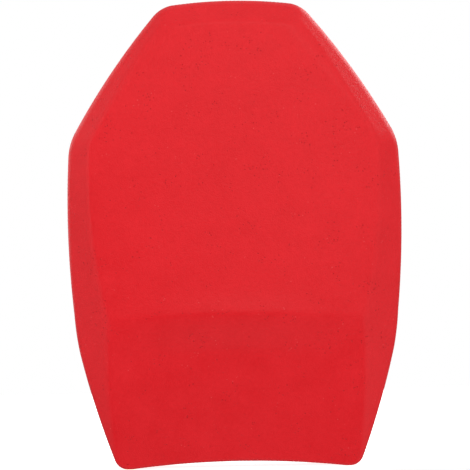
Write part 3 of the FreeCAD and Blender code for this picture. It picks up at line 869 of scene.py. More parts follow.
class Outline:
    """The shield's front view as evenly spaced points, with the arcs that carry its rim bevels."""

    ARCS: ClassVar[dict[str, tuple[Point, Point, Point]]] = {
        "foot": ((0.1340, 0.0000), (0.1433, 0.0034), (0.1493, 0.0122)),
        "lower": ((0.1493, 0.0122), (0.1722, 0.0800), (0.1882, 0.1400)),
        "hip": ((0.1882, 0.1400), (0.1919, 0.1620), (0.1943, 0.1870)),
        "side": ((0.1943, 0.1870), (0.2002, 0.3050), (0.1982, 0.3720)),
        "shoulder": ((0.1982, 0.3720), (0.1963, 0.3870), (0.1905, 0.4030)),
        "chamfer": ((0.1905, 0.4030), (0.1485, 0.4705), (0.0954, 0.5400)),
        "corner": ((0.0954, 0.5400), (0.0850, 0.5497), (0.0720, 0.5554)),
        "top": ((0.0720, 0.5554), (0.0000, 0.5600), (-0.0720, 0.5554)),
    }
    BEVELS: ClassVar[dict[str, Point]] = {
        "lower": (0.72, 0.97),
        "side": (0.72, 0.97),
        "chamfer": (1.10, 1.10),
        "top": (0.86, 0.86),
    }

    def __init__(self, count: int) -> None:
        """Sample the outline, anticlockwise from the middle of the bottom.

        Args:
            count: number of points on each half.
        """
        arch = arc_through((-0.128, 0.0), (0.0, 0.0072), (0.128, 0.0), 801)[0][400:]
        right = [arch, np.array([[0.1290, 0.0], [0.1330, 0.0]])]
        right += [arc_through(*arc, 240)[0] for key, arc in self.ARCS.items() if key != "top"]
        crown = arc_through(*self.ARCS["top"], 481)[0][:241]
        half = evenly(np.concatenate([*right, crown]), 0.0003)
        run = np.linspace(0, len(half) - 1, count + 1)
        half = np.column_stack([np.interp(run, np.arange(len(half)), half[:, i]) for i in (0, 1)])
        self.points = np.concatenate([half, half[-2:0:-1] * (-1, 1)])
        self.middle = np.column_stack([np.zeros(len(self.points)), np.clip(self.points[:, 1], 0.150, 0.420)])

    def slope(self, key: str, z: Array) -> Array:
        """How steeply a rim bevel climbs; the two side ones flatten towards the bottom.

        Args:
            key: the arc that carries the bevel.
            z: heights to take the slope at.

        Returns:
            Rise of the bevel for each metre inward from its arc.
        """
        low, high = self.BEVELS[key]
        return low + (high - low) * smooth_step(z, 0.14, 0.36)

    def inset(self, points: Array) -> Array:
        """Measure how far points are from the outline.

        Args:
            points: places in the front view, N by 2.

        Returns:
            The distance of each.
        """
        dense = evenly(np.concatenate([self.points, self.points[:1]]), 0.0015)
        found = []
        for block in np.array_split(points, len(points) // 4000 + 1):
            gap = block[:, None] - dense[None]
            found.append(np.sqrt((gap * gap).sum(-1).min(1)))
        return np.concatenate(found)

    def moved_in(self, distance: float) -> Array:
        """Pull the outline in along its own normals.

        Args:
            distance: how far, in metres.

        Returns:
            The moved points.
        """
        along = np.roll(self.points, -1, axis=0) - np.roll(self.points, 1, axis=0)
        along /= np.linalg.norm(along, axis=1)[:, None]
        inward = np.column_stack([-along[:, 1], along[:, 0]])
        return self.points + inward * distance


@dataclass
class Shell:
    """The moulded red front: side wall, rim bevels, upper face, crease and scooped lower panel."""

    finishes: Finishes
    outline: Outline
    back: float
    wall: float = 0.062
    ridge: float = 0.100
    hem: float = 0.063
    crown: float = 0.556
    half_width: float = 0.165
    lean: float = 0.0165
    round_off: float = 0.0078
    crest_drop: float = 0.0088
    flare: float = 0.0018
    dish: float = 0.0068
    bevel_blend: float = 0.0034
    facet_blend: float = 0.0022
    facet_corner: Point = (0.066, 0.528)
    facet_way: Point = (0.770, 0.637)

    def crease(self, x: Array) -> Array:
        """Height of the crease, which sags a little towards the sides."""
        return 0.186 - 0.007 * (x / self.half_width) ** 2

    def face(self, x: Array, z: Array) -> Array:
        """Find the face before the rim cuts it.

        Args:
            x: places across.
            z: heights.

        Returns:
            Depth of the face over the back plane.
        """
        level = self.crease(x)
        share = np.clip((z - level) / (self.crown - level), 0.0, 1.0)
        across = np.clip(np.abs(x) / self.half_width, 0, 1.2) ** 2.2
        flare = self.flare * np.clip(1 - (x / 0.105) ** 2, 0, 1)
        lip = self.ridge - 0.0010
        upper = lip - self.lean * share - (0.0010 + self.round_off * (1.0 - share) ** 1.5) * across
        upper = upper + flare * np.exp(-np.clip(z - level, 0, None) ** 2 / 0.016**2)
        crest = lip - self.crest_drop * across + flare
        down = np.clip((level - z) / (level - 0.008), 0.0, 1.1)
        dish = self.dish * np.clip(1 - (x / 0.152) ** 2, 0, 1) * smooth_step(level - z, 0.0, 0.050)
        lower = crest + (self.hem - crest) * down - dish
        return np.where(z > level, upper, lower)

    def depth(self, points: Array) -> Array:
        """Find the finished front, with its rim bevels, top facets and rounded rim.

        Args:
            points: places in the front view, N by 2.

        Returns:
            Depth of the front over the back plane at each.
        """
        x, z = points[:, 0], points[:, 1]
        inset = self.outline.inset(points)
        up, aside = 0.0028, 0.0024
        steps = ((0.0, 0.0), (0.0, up), (0.0, -up), (aside, 0.0), (-aside, 0.0))
        surface = sum(self.face(x + dx, z + dz) for dx, dz in steps) / len(steps)
        for mirror in (1.0, -1.0):
            for key in Outline.BEVELS:
                _, centre, radius = arc_through(*Outline.ARCS[key], 3)
                away = np.hypot(x * mirror - centre[0], z - centre[1])
                rim = self.wall + self.outline.slope(key, z) * (radius - away)
                surface = soft_lowest(surface, rim, self.bevel_blend)
            aside, up = x * mirror - self.facet_corner[0], z - self.facet_corner[1]
            beyond = aside * self.facet_way[0] + up * self.facet_way[1]
            facet = self.face(x, z) + 0.0010 - 0.40 * beyond
            surface = soft_lowest(surface, facet, self.facet_blend)
        turn = 0.0034 + 0.0010 * smooth_step(z, 0.010, 0.050) + 0.0016 * smooth_step(z, 0.33, 0.42)
        near = np.clip(1.0 - inset / turn, 0.0, 1.0)
        return surface - turn * (1.0 - np.sqrt(1.0 - near**2))

    def build(self) -> bpy.types.Object:
        """Make the skin.

        Returns:
            The skin piece.
        """
        gaps = [[0.0], np.full(22, 0.0026), np.full(24, 0.0055), np.full(76, 0.0107)]
        shares = np.cumsum(np.concatenate(gaps))
        shares = shares / shares[-1]
        edge, middle = self.outline.points, self.outline.middle
        plan = edge[None] + (middle - edge)[None] * shares[:, None, None]
        depth = self.depth(plan.reshape(-1, 2)).reshape(plan.shape[:2])
        rings = np.stack([plan[..., 0], self.back - depth, plan[..., 1]], axis=-1)
        low = 0.0013
        walls = []
        for inward, rise in ((0.0045, 0.0), (0.0014, 0.0), (0.0006, 0.0003), (0.0002, 0.0011)):
            flat = self.outline.moved_in(inward)
            walls.append(at_depth(flat, self.back - low - rise))
        for share in np.linspace(0.04, 0.97, 16):
            seam = 0.00035 * math.exp(-(((share - 0.88) / 0.025) ** 2))
            flat = self.outline.moved_in(0.0002 - seam)
            walls.append(at_depth(flat, self.back - (low + (depth[0] - low) * share)))
        mesh = Mesh()
        loft(np.concatenate([np.array(walls), rings]), mesh)
        shell = mesh.build("shell_skin", self.finishes.skin, "red_skin", "shield", merge=True)
        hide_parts("front_skin", "impact_foam", "core_foam", "rebound_foam")
        return shell


@dataclass
class Back:
    """Black vinyl back: cover sheet, bound edge, sewn patches and the vents and rivets in it."""

    finishes: Finishes
    outline: Outline
    puff: float = 0.0011
    tape: float = 0.0156

    def cover(self) -> None:
        """The vinyl sheet, drawn down at the patches, rivets and vents."""
        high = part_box("back_cover")[1]
        shares = np.linspace(0.0, 1.0, 64) ** 0.9
        rim = 0.0012
        edge = self.outline.moved_in(rim)
        plan = edge[None] + (self.outline.middle - edge)[None] * shares[:, None, None]
        flat = plan.reshape(-1, 2)
        x, z = flat[:, 0], flat[:, 1]
        puff = self.puff * (1 - np.exp(-((self.outline.inset(flat) - rim) / 0.03)))
        puff *= 0.55 + 0.25 * np.sin(x * 31 + 1.1) * np.sin(z * 23) + 0.2 * np.sin(z * 47 + x * 19)
        for node in PATCHED:
            a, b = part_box(node)
            half = (b.x - a.x) / 2
            hold = smooth_step(np.abs(x - (a.x + b.x) / 2), half + 0.018, half + 0.002)
            hold *= smooth_step(z, a.z - 0.020, a.z - 0.002) * smooth_step(z, b.z + 0.020, b.z + 0.002)
            puff *= 1 - hold
        a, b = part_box("carry_patches")
        puff *= 1 - smooth_step(np.abs(z - (a.z + b.z) / 2), 0.034, 0.018) * (np.abs(x) < 0.11)
        for across, level in self.vents():
            puff *= smooth_step(np.hypot(x - across, z - level), 0.009, 0.030)
        y = (high.y + np.maximum(puff, 0)).reshape(plan.shape[:2])
        mesh = Mesh()
        loft(np.stack([plan[..., 0], y, plan[..., 1]], axis=-1)[:, ::-1], mesh)
        sheet = mesh.build("cover_sheet", self.finishes.cover, "cover_vinyl", "shield", merge=True)
        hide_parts("back_cover")

    def vents(self) -> list[Point]:
        """Read where the vent eyelets are from their node's box.

        Returns:
            Their places across and up.
        """
        low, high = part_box("vent_eyelets")
        flange = 0.008
        wide, narrow = high.x - flange, high.x - flange - 0.014
        return [(s * wide, high.z - flange) for s in (-1, 1)] + [(s * narrow, low.z + flange) for s in (-1, 1)]

    def binding(self) -> None:
        """Woven tape folded over the back edge, held by two rows of stitches."""
        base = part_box("edge_binding")[0].y
        bow = [(d, 0.0013 + 0.00015 * math.sin(math.pi * d / self.tape)) for d in np.linspace(0.003, 0.0140, 8)]
        section = [(0.0003, 0.0), (0.0002, 0.0005), (0.0006, 0.0010), (0.0014, 0.0013), *bow]
        section += [(0.0148, 0.0012), (self.tape, 0.0008), (self.tape + 0.0001, 0.0001)]
        rings, strips = [], []
        run = run_along(self.outline.points)
        for inward, rise in section:
            flat = self.outline.moved_in(inward)
            rings.append(at_depth(flat, base - 0.0001 + rise))
            strips.append(np.column_stack([run, np.full(len(flat), inward - self.tape / 2)]))
        mesh = Mesh()
        loft(np.array(rings), mesh, np.array(strips))
        tape = mesh.build("rim_binding", self.finishes.binding, "binding_tape", "shield")
        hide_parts("edge_binding")
        sewn = Stitching(pitch=0.0046, thread=0.00045)
        for inward in (0.0040, 0.0125):
            flat = self.outline.moved_in(inward)
            flat = evenly(np.concatenate([flat, flat[:1]]), 0.002)
            sewn.row(at_depth(flat, base + 0.00135), OUTWARD)
        sewn.mesh.build("rim_stitches", self.finishes.thread, "binding_tape", "shield")

    def patches(self) -> None:
        """Vinyl patches under every strap and handle end, each sewn down near its edge."""
        heights = {"arm": (0.052, 0.042), "grip": (0.036, 0.036)}
        sewn = Stitching(pitch=0.0040)
        for node in PATCHED:
            low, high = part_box(node)
            lower, upper = heights[node.split("_")[0]]
            spots = [(low.z + lower / 2, lower), (high.z - upper / 2, upper)]
            mesh = Mesh()
            for level, height in spots:
                self.patch(mesh, sewn, ((low.x + high.x) / 2, level), (high.x - low.x, height), low.y, high.y)
            piece = mesh.build(f"{node}_vinyl", self.finishes.patch, "patch_vinyl", "shield")
            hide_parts(node)
        low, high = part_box("carry_patches")
        mesh = Mesh()
        for side in SIDES.values():
            spot = (side * (high.x - 0.018), (low.z + high.z) / 2)
            self.patch(mesh, sewn, spot, (0.036, high.z - low.z), low.y, high.y)
        piece = mesh.build("carry_patches_vinyl", self.finishes.patch, "patch_vinyl", "shield")
        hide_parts("carry_patches")
        sewn.mesh.build("patch_stitches", self.finishes.thread, "patch_vinyl", "shield")

    def patch(self, mesh: Mesh, sewn: Stitching, spot: Point, size: Point, low: float, high: float) -> None:
        """Add one patch.

        Args:
            mesh: what it is added to.
            sewn: what its stitches are added to.
            spot: its middle.
            size: its width and height.
            low: y of its underside.
            high: y of its face.
        """
        shape = squared_ring(96, 0.22, 0.22)
        seam, sunk = 0.0032, 0.92
        rings = []
        thick = high - low
        for inward, rise in (
            (0.0, 0.0), (0.0, 0.35), (0.0002, 0.7), (0.0007, 0.96), (0.0016, 1.04), (0.0025, 1.0), (seam, 0.86),
            (0.0039, 1.0), (0.0055, 1.04), (0.0075, 1.0), (0.0100, 0.98), (0.0140, 0.98), (0.0170, 0.98),
        ):
            rings.append(at_depth(shape * (np.array(size) / 2 - inward) + spot, low + thick * rise))
        loft(np.array(rings)[:, ::-1], mesh, cap=True)
        flat = shape * (np.array(size) / 2 - seam) + spot
        flat = evenly(np.concatenate([flat, flat[:1]]), 0.001)
        sewn.row(at_depth(flat, low + thick * sunk), OUTWARD)

    def hardware(self) -> None:
        """Give the steel and board nodes, which show as they were made, their finishes."""
        steel = (
            "vent_eyelets", "vent_washers", "strap_rivets", "keeper_rivets", "grip_rivets", "carry_rivets",
            "rivet_washers", "arm_ring_left", "arm_ring_right",
        )
        dressed = [("support_board", self.finishes.board, "board_plastic")]
        for name, material, slot in dressed + [(name, self.finishes.steel, "steel") for name in steel]:
            node = frame["nodes"][name]
            node.data.materials.clear()
            node.data.materials.append(material)

    def build(self) -> None:
        """Make the whole back."""
        self.cover()
        self.binding()
        self.patches()
        self.hardware()


@dataclass
class ForearmStrap:
    """Padded forearm strap: fixed web, quilted pad, ring and keeper, and a hook-and-loop tab."""

    finishes: Finishes
    side_name: str
    width: float = 0.050
    web: float = 0.0022
    tape: float = 0.0012
    gap: float = 0.0003
    lean: float = math.radians(52.0)
    bow: float = 0.060
    wire: float = 0.0045
    bar_gap: float = 0.018
    pad_root: float = 0.026
    pad_stop: float = 0.014
    loop_angle: float = 8.0
    hook_angle: float = -40.0
    tab_angle: float = -36.0
    pull_width: float = 0.034
    place: float = field(init=False)
    level: float = field(init=False)
    wrap: float = field(init=False)
    up: Array = field(init=False)
    outer: Array = field(init=False)
    bar: Array = field(init=False)
    near: Array = field(init=False)
    corner: Array = field(init=False)
    root: Array = field(init=False)
    foot: Array = field(init=False)
    centre: Array = field(init=False)
    low_bar: Array = field(init=False)
    across: Array = field(init=False)

    def __post_init__(self) -> None:
        """Find the strap's line from its nodes' boxes and its joint."""
        low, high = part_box(f"arm_strap_{self.side_name}")
        joint = next(j for j in frame["joints"] if j["name"] == f"strap_peel_{self.side_name}")
        self.place = (low.x + high.x) / 2
        self.level = low.y + self.web / 2
        self.wrap = (self.wire + self.web) / 2 + 0.0001
        self.up = np.array([math.sin(self.lean), math.cos(self.lean)])
        self.outer = np.array([math.cos(self.lean), -math.sin(self.lean)])
        self.bar = np.array(joint["pos_m"][1:])
        self.near = self.bar - self.outer * self.wrap
        top = high.y - self.web / 2
        corner_y = top + self.bow * (1 / math.cos(self.lean) - 1)
        self.corner = self.near + self.up * (corner_y - self.near[0]) / self.up[0]
        rise = (corner_y - self.level) * self.up[1] / self.up[0]
        self.root = np.array([self.level, self.corner[1] + rise])
        self.foot = np.array([self.level, high.z])
        self.centre = np.array([top - self.bow, self.corner[1]])
        self.low_bar = self.bar - self.up * self.bar_gap
        self.across = ACROSS

    def lifted(self, line: Array) -> tuple[Array, Array]:
        """A strap line in space and its outward directions.

        Args:
            line: points in the y-z plane.

        Returns:
            Points and outward unit directions, both N by 3.
        """
        along = tangents(line)
        outward = np.column_stack([-along[:, 1], along[:, 0]])
        points = np.column_stack([np.full(len(line), self.place), line])
        return points, np.column_stack([np.zeros(len(line)), outward])

    def strip(self, line: Array, width: float, thickness: float, mesh: Mesh) -> tuple[Array, Array]:
        """Add a flat strip on a strap line.

        Args:
            line: its middle, in the y-z plane.
            width: its width.
            thickness: its thickness.
            mesh: what it is added to.

        Returns:
            Its middle line in space and its outward directions.
        """
        points, outward = self.lifted(line)
        sweep(points, outward, self.across, tape_section(width, thickness), mesh)
        return points, outward

    def edges(self, sewn: Stitching, points: Array, outward: Array, height: float, half: float) -> None:
        """Sew a row near each edge of a strip and across its two ends.

        Args:
            sewn: what the stitches are added to.
            points: the strip's middle line.
            outward: its outward directions.
            height: how far over the line the thread lies.
            half: how far from the line the edge rows are.
        """
        for side in (-half, half):
            sewn.row(points + outward * height + self.across * side, outward)
        for end in (4, -5):
            share = np.linspace(-half, half, 16)[:, None]
            sewn.row(points[end] + outward[end] * height + self.across * share, np.tile(outward[end], (16, 1)))

    def fixed_web(self, sewn: Stitching) -> None:
        """The fixed web from the riveted foot over the bow to the ring.

        Args:
            sewn: what its stitches are added to.
        """
        line = filleted([self.foot, self.root, self.corner, self.near], [0.012, self.bow])
        mesh = Mesh()
        self.strip(line, self.width, self.web, mesh)
        web = mesh.build(f"arm_web_{self.side_name}", self.finishes.web, "webbing", "shield")
        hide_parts(f"arm_strap_{self.side_name}")
        middle = np.array([self.place, self.level + self.web / 2, self.foot[1] - 0.010])
        sewn.boxed(middle, self.across, UPWARD, OUTWARD, (0.0225, 0.0075))

    def ring_turn(self) -> None:
        """The web's turn round the ring's upper bar."""
        angles = np.linspace(math.pi, 2 * math.pi, 28) - self.lean
        line = self.bar + self.wrap * np.column_stack([np.cos(angles), np.sin(angles)])
        mesh = Mesh()
        self.strip(line, self.width, self.web, mesh)
        turn = mesh.build(f"ring_turn_{self.side_name}", self.finishes.web, "webbing", None)
        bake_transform(turn)

    def pad(self, sewn: Stitching) -> None:
        """Quilted foam pad on the forearm's side of the web, hemmed all round.

        Args:
            sewn: what its stitches are added to.
        """
        step, hem, edge, thin, channels = 0.0012, 0.0055, 0.0013, 0.0026, 6
        down = self.corner - self.root
        down /= np.linalg.norm(down)
        ends = [self.root + down * self.pad_root, self.corner, self.near + self.up * self.pad_stop]
        points, outward = self.lifted(filleted(ends, [self.bow], step))
        low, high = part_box(f"arm_pad_{self.side_name}")
        half, thick = (high.x - low.x) / 2, 0.008
        run = np.arange(len(points)) * step
        total = run[-1]
        margin = np.minimum(run, total - run)
        full = smooth_step(margin, 0.0, hem * 2.4) ** 0.5
        channel = 0.5 * (1 - np.cos(2 * math.pi * (run - hem) / ((total - 2 * hem) / channels)))
        quilt = np.where(margin > hem, 0.55 + 0.45 * np.sqrt(np.clip(channel, 0, 1)), 0.55)
        grid = np.linspace(-1, 1, 41)
        spread = np.sign(grid) * np.abs(grid) ** 0.9
        plump = smooth_step((1 - np.abs(spread)) * half / hem, 0.7, 2.8)
        ribs = thin + (thick - thin) * plump[None] * (full * quilt)[:, None]
        ripple = 0.00025 * np.sin(run[:, None] * 420 + spread[None] * 3) * plump[None]
        turned = np.sqrt(np.clip(1 - np.clip((np.abs(spread) - 0.955) / 0.045, 0, 1) ** 2, 0, 1))[None]
        flat = self.web / 2 + 0.0002
        inner = -(flat + edge + (ribs + ripple - edge) * turned)
        outside = np.broadcast_to(-(flat + edge - edge * turned), inner.shape)
        across = np.broadcast_to(spread * half, inner.shape)
        section = np.concatenate([
            np.stack([across, outside], -1)[:, ::-1],
            np.stack([across, inner], -1)[:, 1:-1],
        ], axis=1)
        mesh = Mesh()
        sweep(points, outward, self.across, section, mesh)
        pad = mesh.build(f"forearm_pad_{self.side_name}", self.finishes.cloth, "pad_cloth", "shield")
        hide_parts(f"arm_pad_{self.side_name}")
        inward = -outward
        for side in (-1, 1):
            sewn.row(points + inward * (flat + 0.0030) + self.across * side * (half - hem * 0.75), inward)
        share = np.linspace(-1, 1, 30)
        reach = half - 0.006
        for start in np.linspace(hem, total - hem, channels + 1):
            i = int(np.clip(round(start / step), 2, len(points) - 3))
            height = np.interp(np.abs(share) * reach, np.abs(spread[20:]) * half, -inner[i, 20:])
            row = points[i] + inward[i] * (height[:, None] + 0.0002)
            sewn.row(row + self.across * (share * reach)[:, None], np.tile(inward[i], (30, 1)))

    def run_to_ring(self, start_angle: float, shift: float, stop: float) -> Array:
        """Line over the bow and down the lower run.

        Args:
            start_angle: where on the bow it starts, in degrees from +Y towards +Z.
            shift: how far outward it lies from the web's middle.
            stop: how far short of the ring it ends.

        Returns:
            The line, in the y-z plane.
        """
        half = (start_angle + math.degrees(self.lean)) / 2
        reach = self.bow + shift
        first = self.centre + reach * polar(start_angle)
        corner = self.centre + reach / math.cos(math.radians(half)) * polar(start_angle - half)
        last = self.near + self.up * stop + self.outer * shift
        return filleted([first, corner, last], [reach])

    def tapes(self, sewn: Stitching) -> None:
        """Loop tape on the web and hook tape under the tab.

        Args:
            sewn: what their stitches are added to.
        """
        shift = (self.web + self.tape) / 2
        mesh = Mesh()
        line = self.run_to_ring(self.loop_angle, shift, 0.008)
        points, outward = self.strip(line, self.width - 0.004, self.tape, mesh)
        loops = mesh.build(f"loop_tape_{self.side_name}_pile", self.finishes.loop, "hook_loop", "shield")
        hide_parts(f"loop_tape_{self.side_name}")
        self.edges(sewn, points, outward, self.tape / 2 + 0.0001, self.width / 2 - 0.0042)
        shift += self.tape + self.gap
        mesh = Mesh()
        line = self.run_to_ring(self.hook_angle, shift, 0.026)
        self.strip(line, self.width - 0.006, self.tape, mesh)
        body = f"strap_tab_{self.side_name}_end"
        hooks = mesh.build(f"hook_tape_{self.side_name}_pile", self.finishes.hook, "hook_loop", body)
        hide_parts(f"hook_tape_{self.side_name}")

    def tab(self) -> None:
        """The free end, from the ring's bar over the tapes, with its moulded pull."""
        body = f"strap_tab_{self.side_name}_end"
        shift = self.web + self.tape * 2 + self.gap
        end_angle = self.tab_angle
        half = (end_angle + math.degrees(self.lean)) / 2
        reach = self.bow + shift
        first = self.centre + reach * polar(end_angle)
        corner = self.centre + reach / math.cos(math.radians(half)) * polar(end_angle - half)
        landing = self.near + self.outer * shift + self.up * 0.024
        start = self.bar + self.outer * self.wrap
        line = filleted([first, corner, landing, start], [reach, 0.060])[::-1]
        mesh = Mesh()
        points, outward = self.strip(line, self.width, self.web, mesh)
        tab = mesh.build(f"tab_web_{self.side_name}", self.finishes.web, "webbing", body)
        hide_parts(f"strap_tab_{self.side_name}")
        sewn = Stitching()
        outward = outward * np.sign(outward[-1] @ np.concatenate([[0.0], polar(end_angle)]))
        half_width, height = self.width / 2 - 0.0045, self.web / 2 + 0.0001
        tail = slice(max(0, len(points) - 24), len(points) - 3)
        for side in (-half_width, half_width):
            sewn.row(points[tail] + outward[tail] * height + self.across * side, outward[tail])
        share = np.linspace(-half_width, half_width, 16)[:, None]
        for end in (tail.start, tail.stop):
            sewn.row(points[end] + outward[end] * height + self.across * share, np.tile(outward[end], (16, 1)))
        sewn.mesh.build(f"tab_stitches_{self.side_name}", self.finishes.thread, "webbing", body)
        self.pull(reach, end_angle, body)

    def pull(self, reach: float, angle: float, body: str) -> None:
        """Moulded rubber pull with raised bars across it.

        Args:
            reach: how far its middle is from the bow's centre.
            angle: where on the bow the tab ends, in degrees.
            body: the body it rides on.
        """
        angles = np.radians(np.linspace(angle - 1.0, angle + 14.0, 70))
        line = self.centre + reach * np.column_stack([np.cos(angles), np.sin(angles)])
        points = np.column_stack([np.full(len(line), self.place), line])
        outward = np.column_stack([np.zeros(len(line)), np.cos(angles), np.sin(angles)])
        share = np.linspace(0, 1, len(line))
        bars = 0.0005 * np.clip(np.sin(share * math.pi * 2 * 5.5), 0, 1) * smooth_step(share, 0.18, 0.3)
        taper = 1.0 - 0.16 * smooth_step(share, 0.55, 1.0) - 0.25 * smooth_step(share, 0.93, 1.0)
        thick = 0.0030 * (1 - 0.35 * smooth_step(share, 0.94, 1.0))
        base = tape_section(1.0, 1.0, 36)[None]
        spread = base[..., 0] * self.pull_width * taper[:, None]
        section = np.stack([spread, base[..., 1] * (thick + bars * 2)[:, None]], -1)
        mesh = Mesh()
        sweep(points, outward, self.across, section, mesh)
        pull = mesh.build(f"rubber_pull_{self.side_name}", self.finishes.rubber, "tab_rubber", body)
        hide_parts(f"pull_tab_{self.side_name}")

    def keeper(self, sewn: Stitching) -> None:
        """Short web that holds the ring's lower bar to the riveted patch.

        Args:
            sewn: what its stitches are added to.
        """
        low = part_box(f"ring_keeper_{self.side_name}")[0]
        level, upper = self.level, self.level + self.web + 0.0001
        crest, far = self.low_bar[1] + self.wrap, self.low_bar[0] + self.wrap
        corners = [
            (level, low.z), (level, crest), (far, crest), (far, self.low_bar[1] - 0.004),
            (upper, self.low_bar[1] - 0.014), (upper, low.z),
        ]
        line = filleted(corners, [self.wrap * 0.99, self.wrap * 0.99, 0.004, 0.004], 0.0008)
        mesh = Mesh()
        self.strip(line, self.width, self.web, mesh)
        web = mesh.build(f"keeper_web_{self.side_name}", self.finishes.web, "webbing", "shield")
        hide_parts(f"ring_keeper_{self.side_name}")
        middle = np.array([self.place, upper + self.web / 2, low.z + 0.013])
        sewn.boxed(middle, self.across, UPWARD, OUTWARD, (0.0225, 0.0105))

    def build(self) -> None:
        """Make the whole strap."""
        sewn = Stitching()
        self.fixed_web(sewn)
        self.ring_turn()
        self.pad(sewn)
        self.tapes(sewn)
        self.tab()
        self.keeper(sewn)
        sewn.mesh.build(f"arm_stitches_{self.side_name}", self.finishes.thread, "webbing", "shield")


def polar(angle: float) -> Array:
    """Unit vector in the y-z plane at an angle in degrees from +Y towards +Z."""
    return np.array([math.cos(math.radians(angle)), math.sin(math.radians(angle))])


@dataclass(frozen=True)
class HandleShape:
    """Sizes of one kind of handle, in metres."""

    standoff: float
    half_run: float
    half_span: float
    tube: float
    foot: float = 0.028
    web_width: float = 0.022
    web: float = 0.0022
    bend: float = 0.014
    wrap: float = 0.0015
    oval: Point = (0.032, 0.024)


class HandleKind(Enum):
    """The two kinds of webbing handle."""

    GRIP = HandleShape(standoff=0.050, half_run=0.060, half_span=0.084, tube=0.098)
    CARRY = HandleShape(standoff=0.042, half_run=0.047, half_span=0.062, tube=0.074)


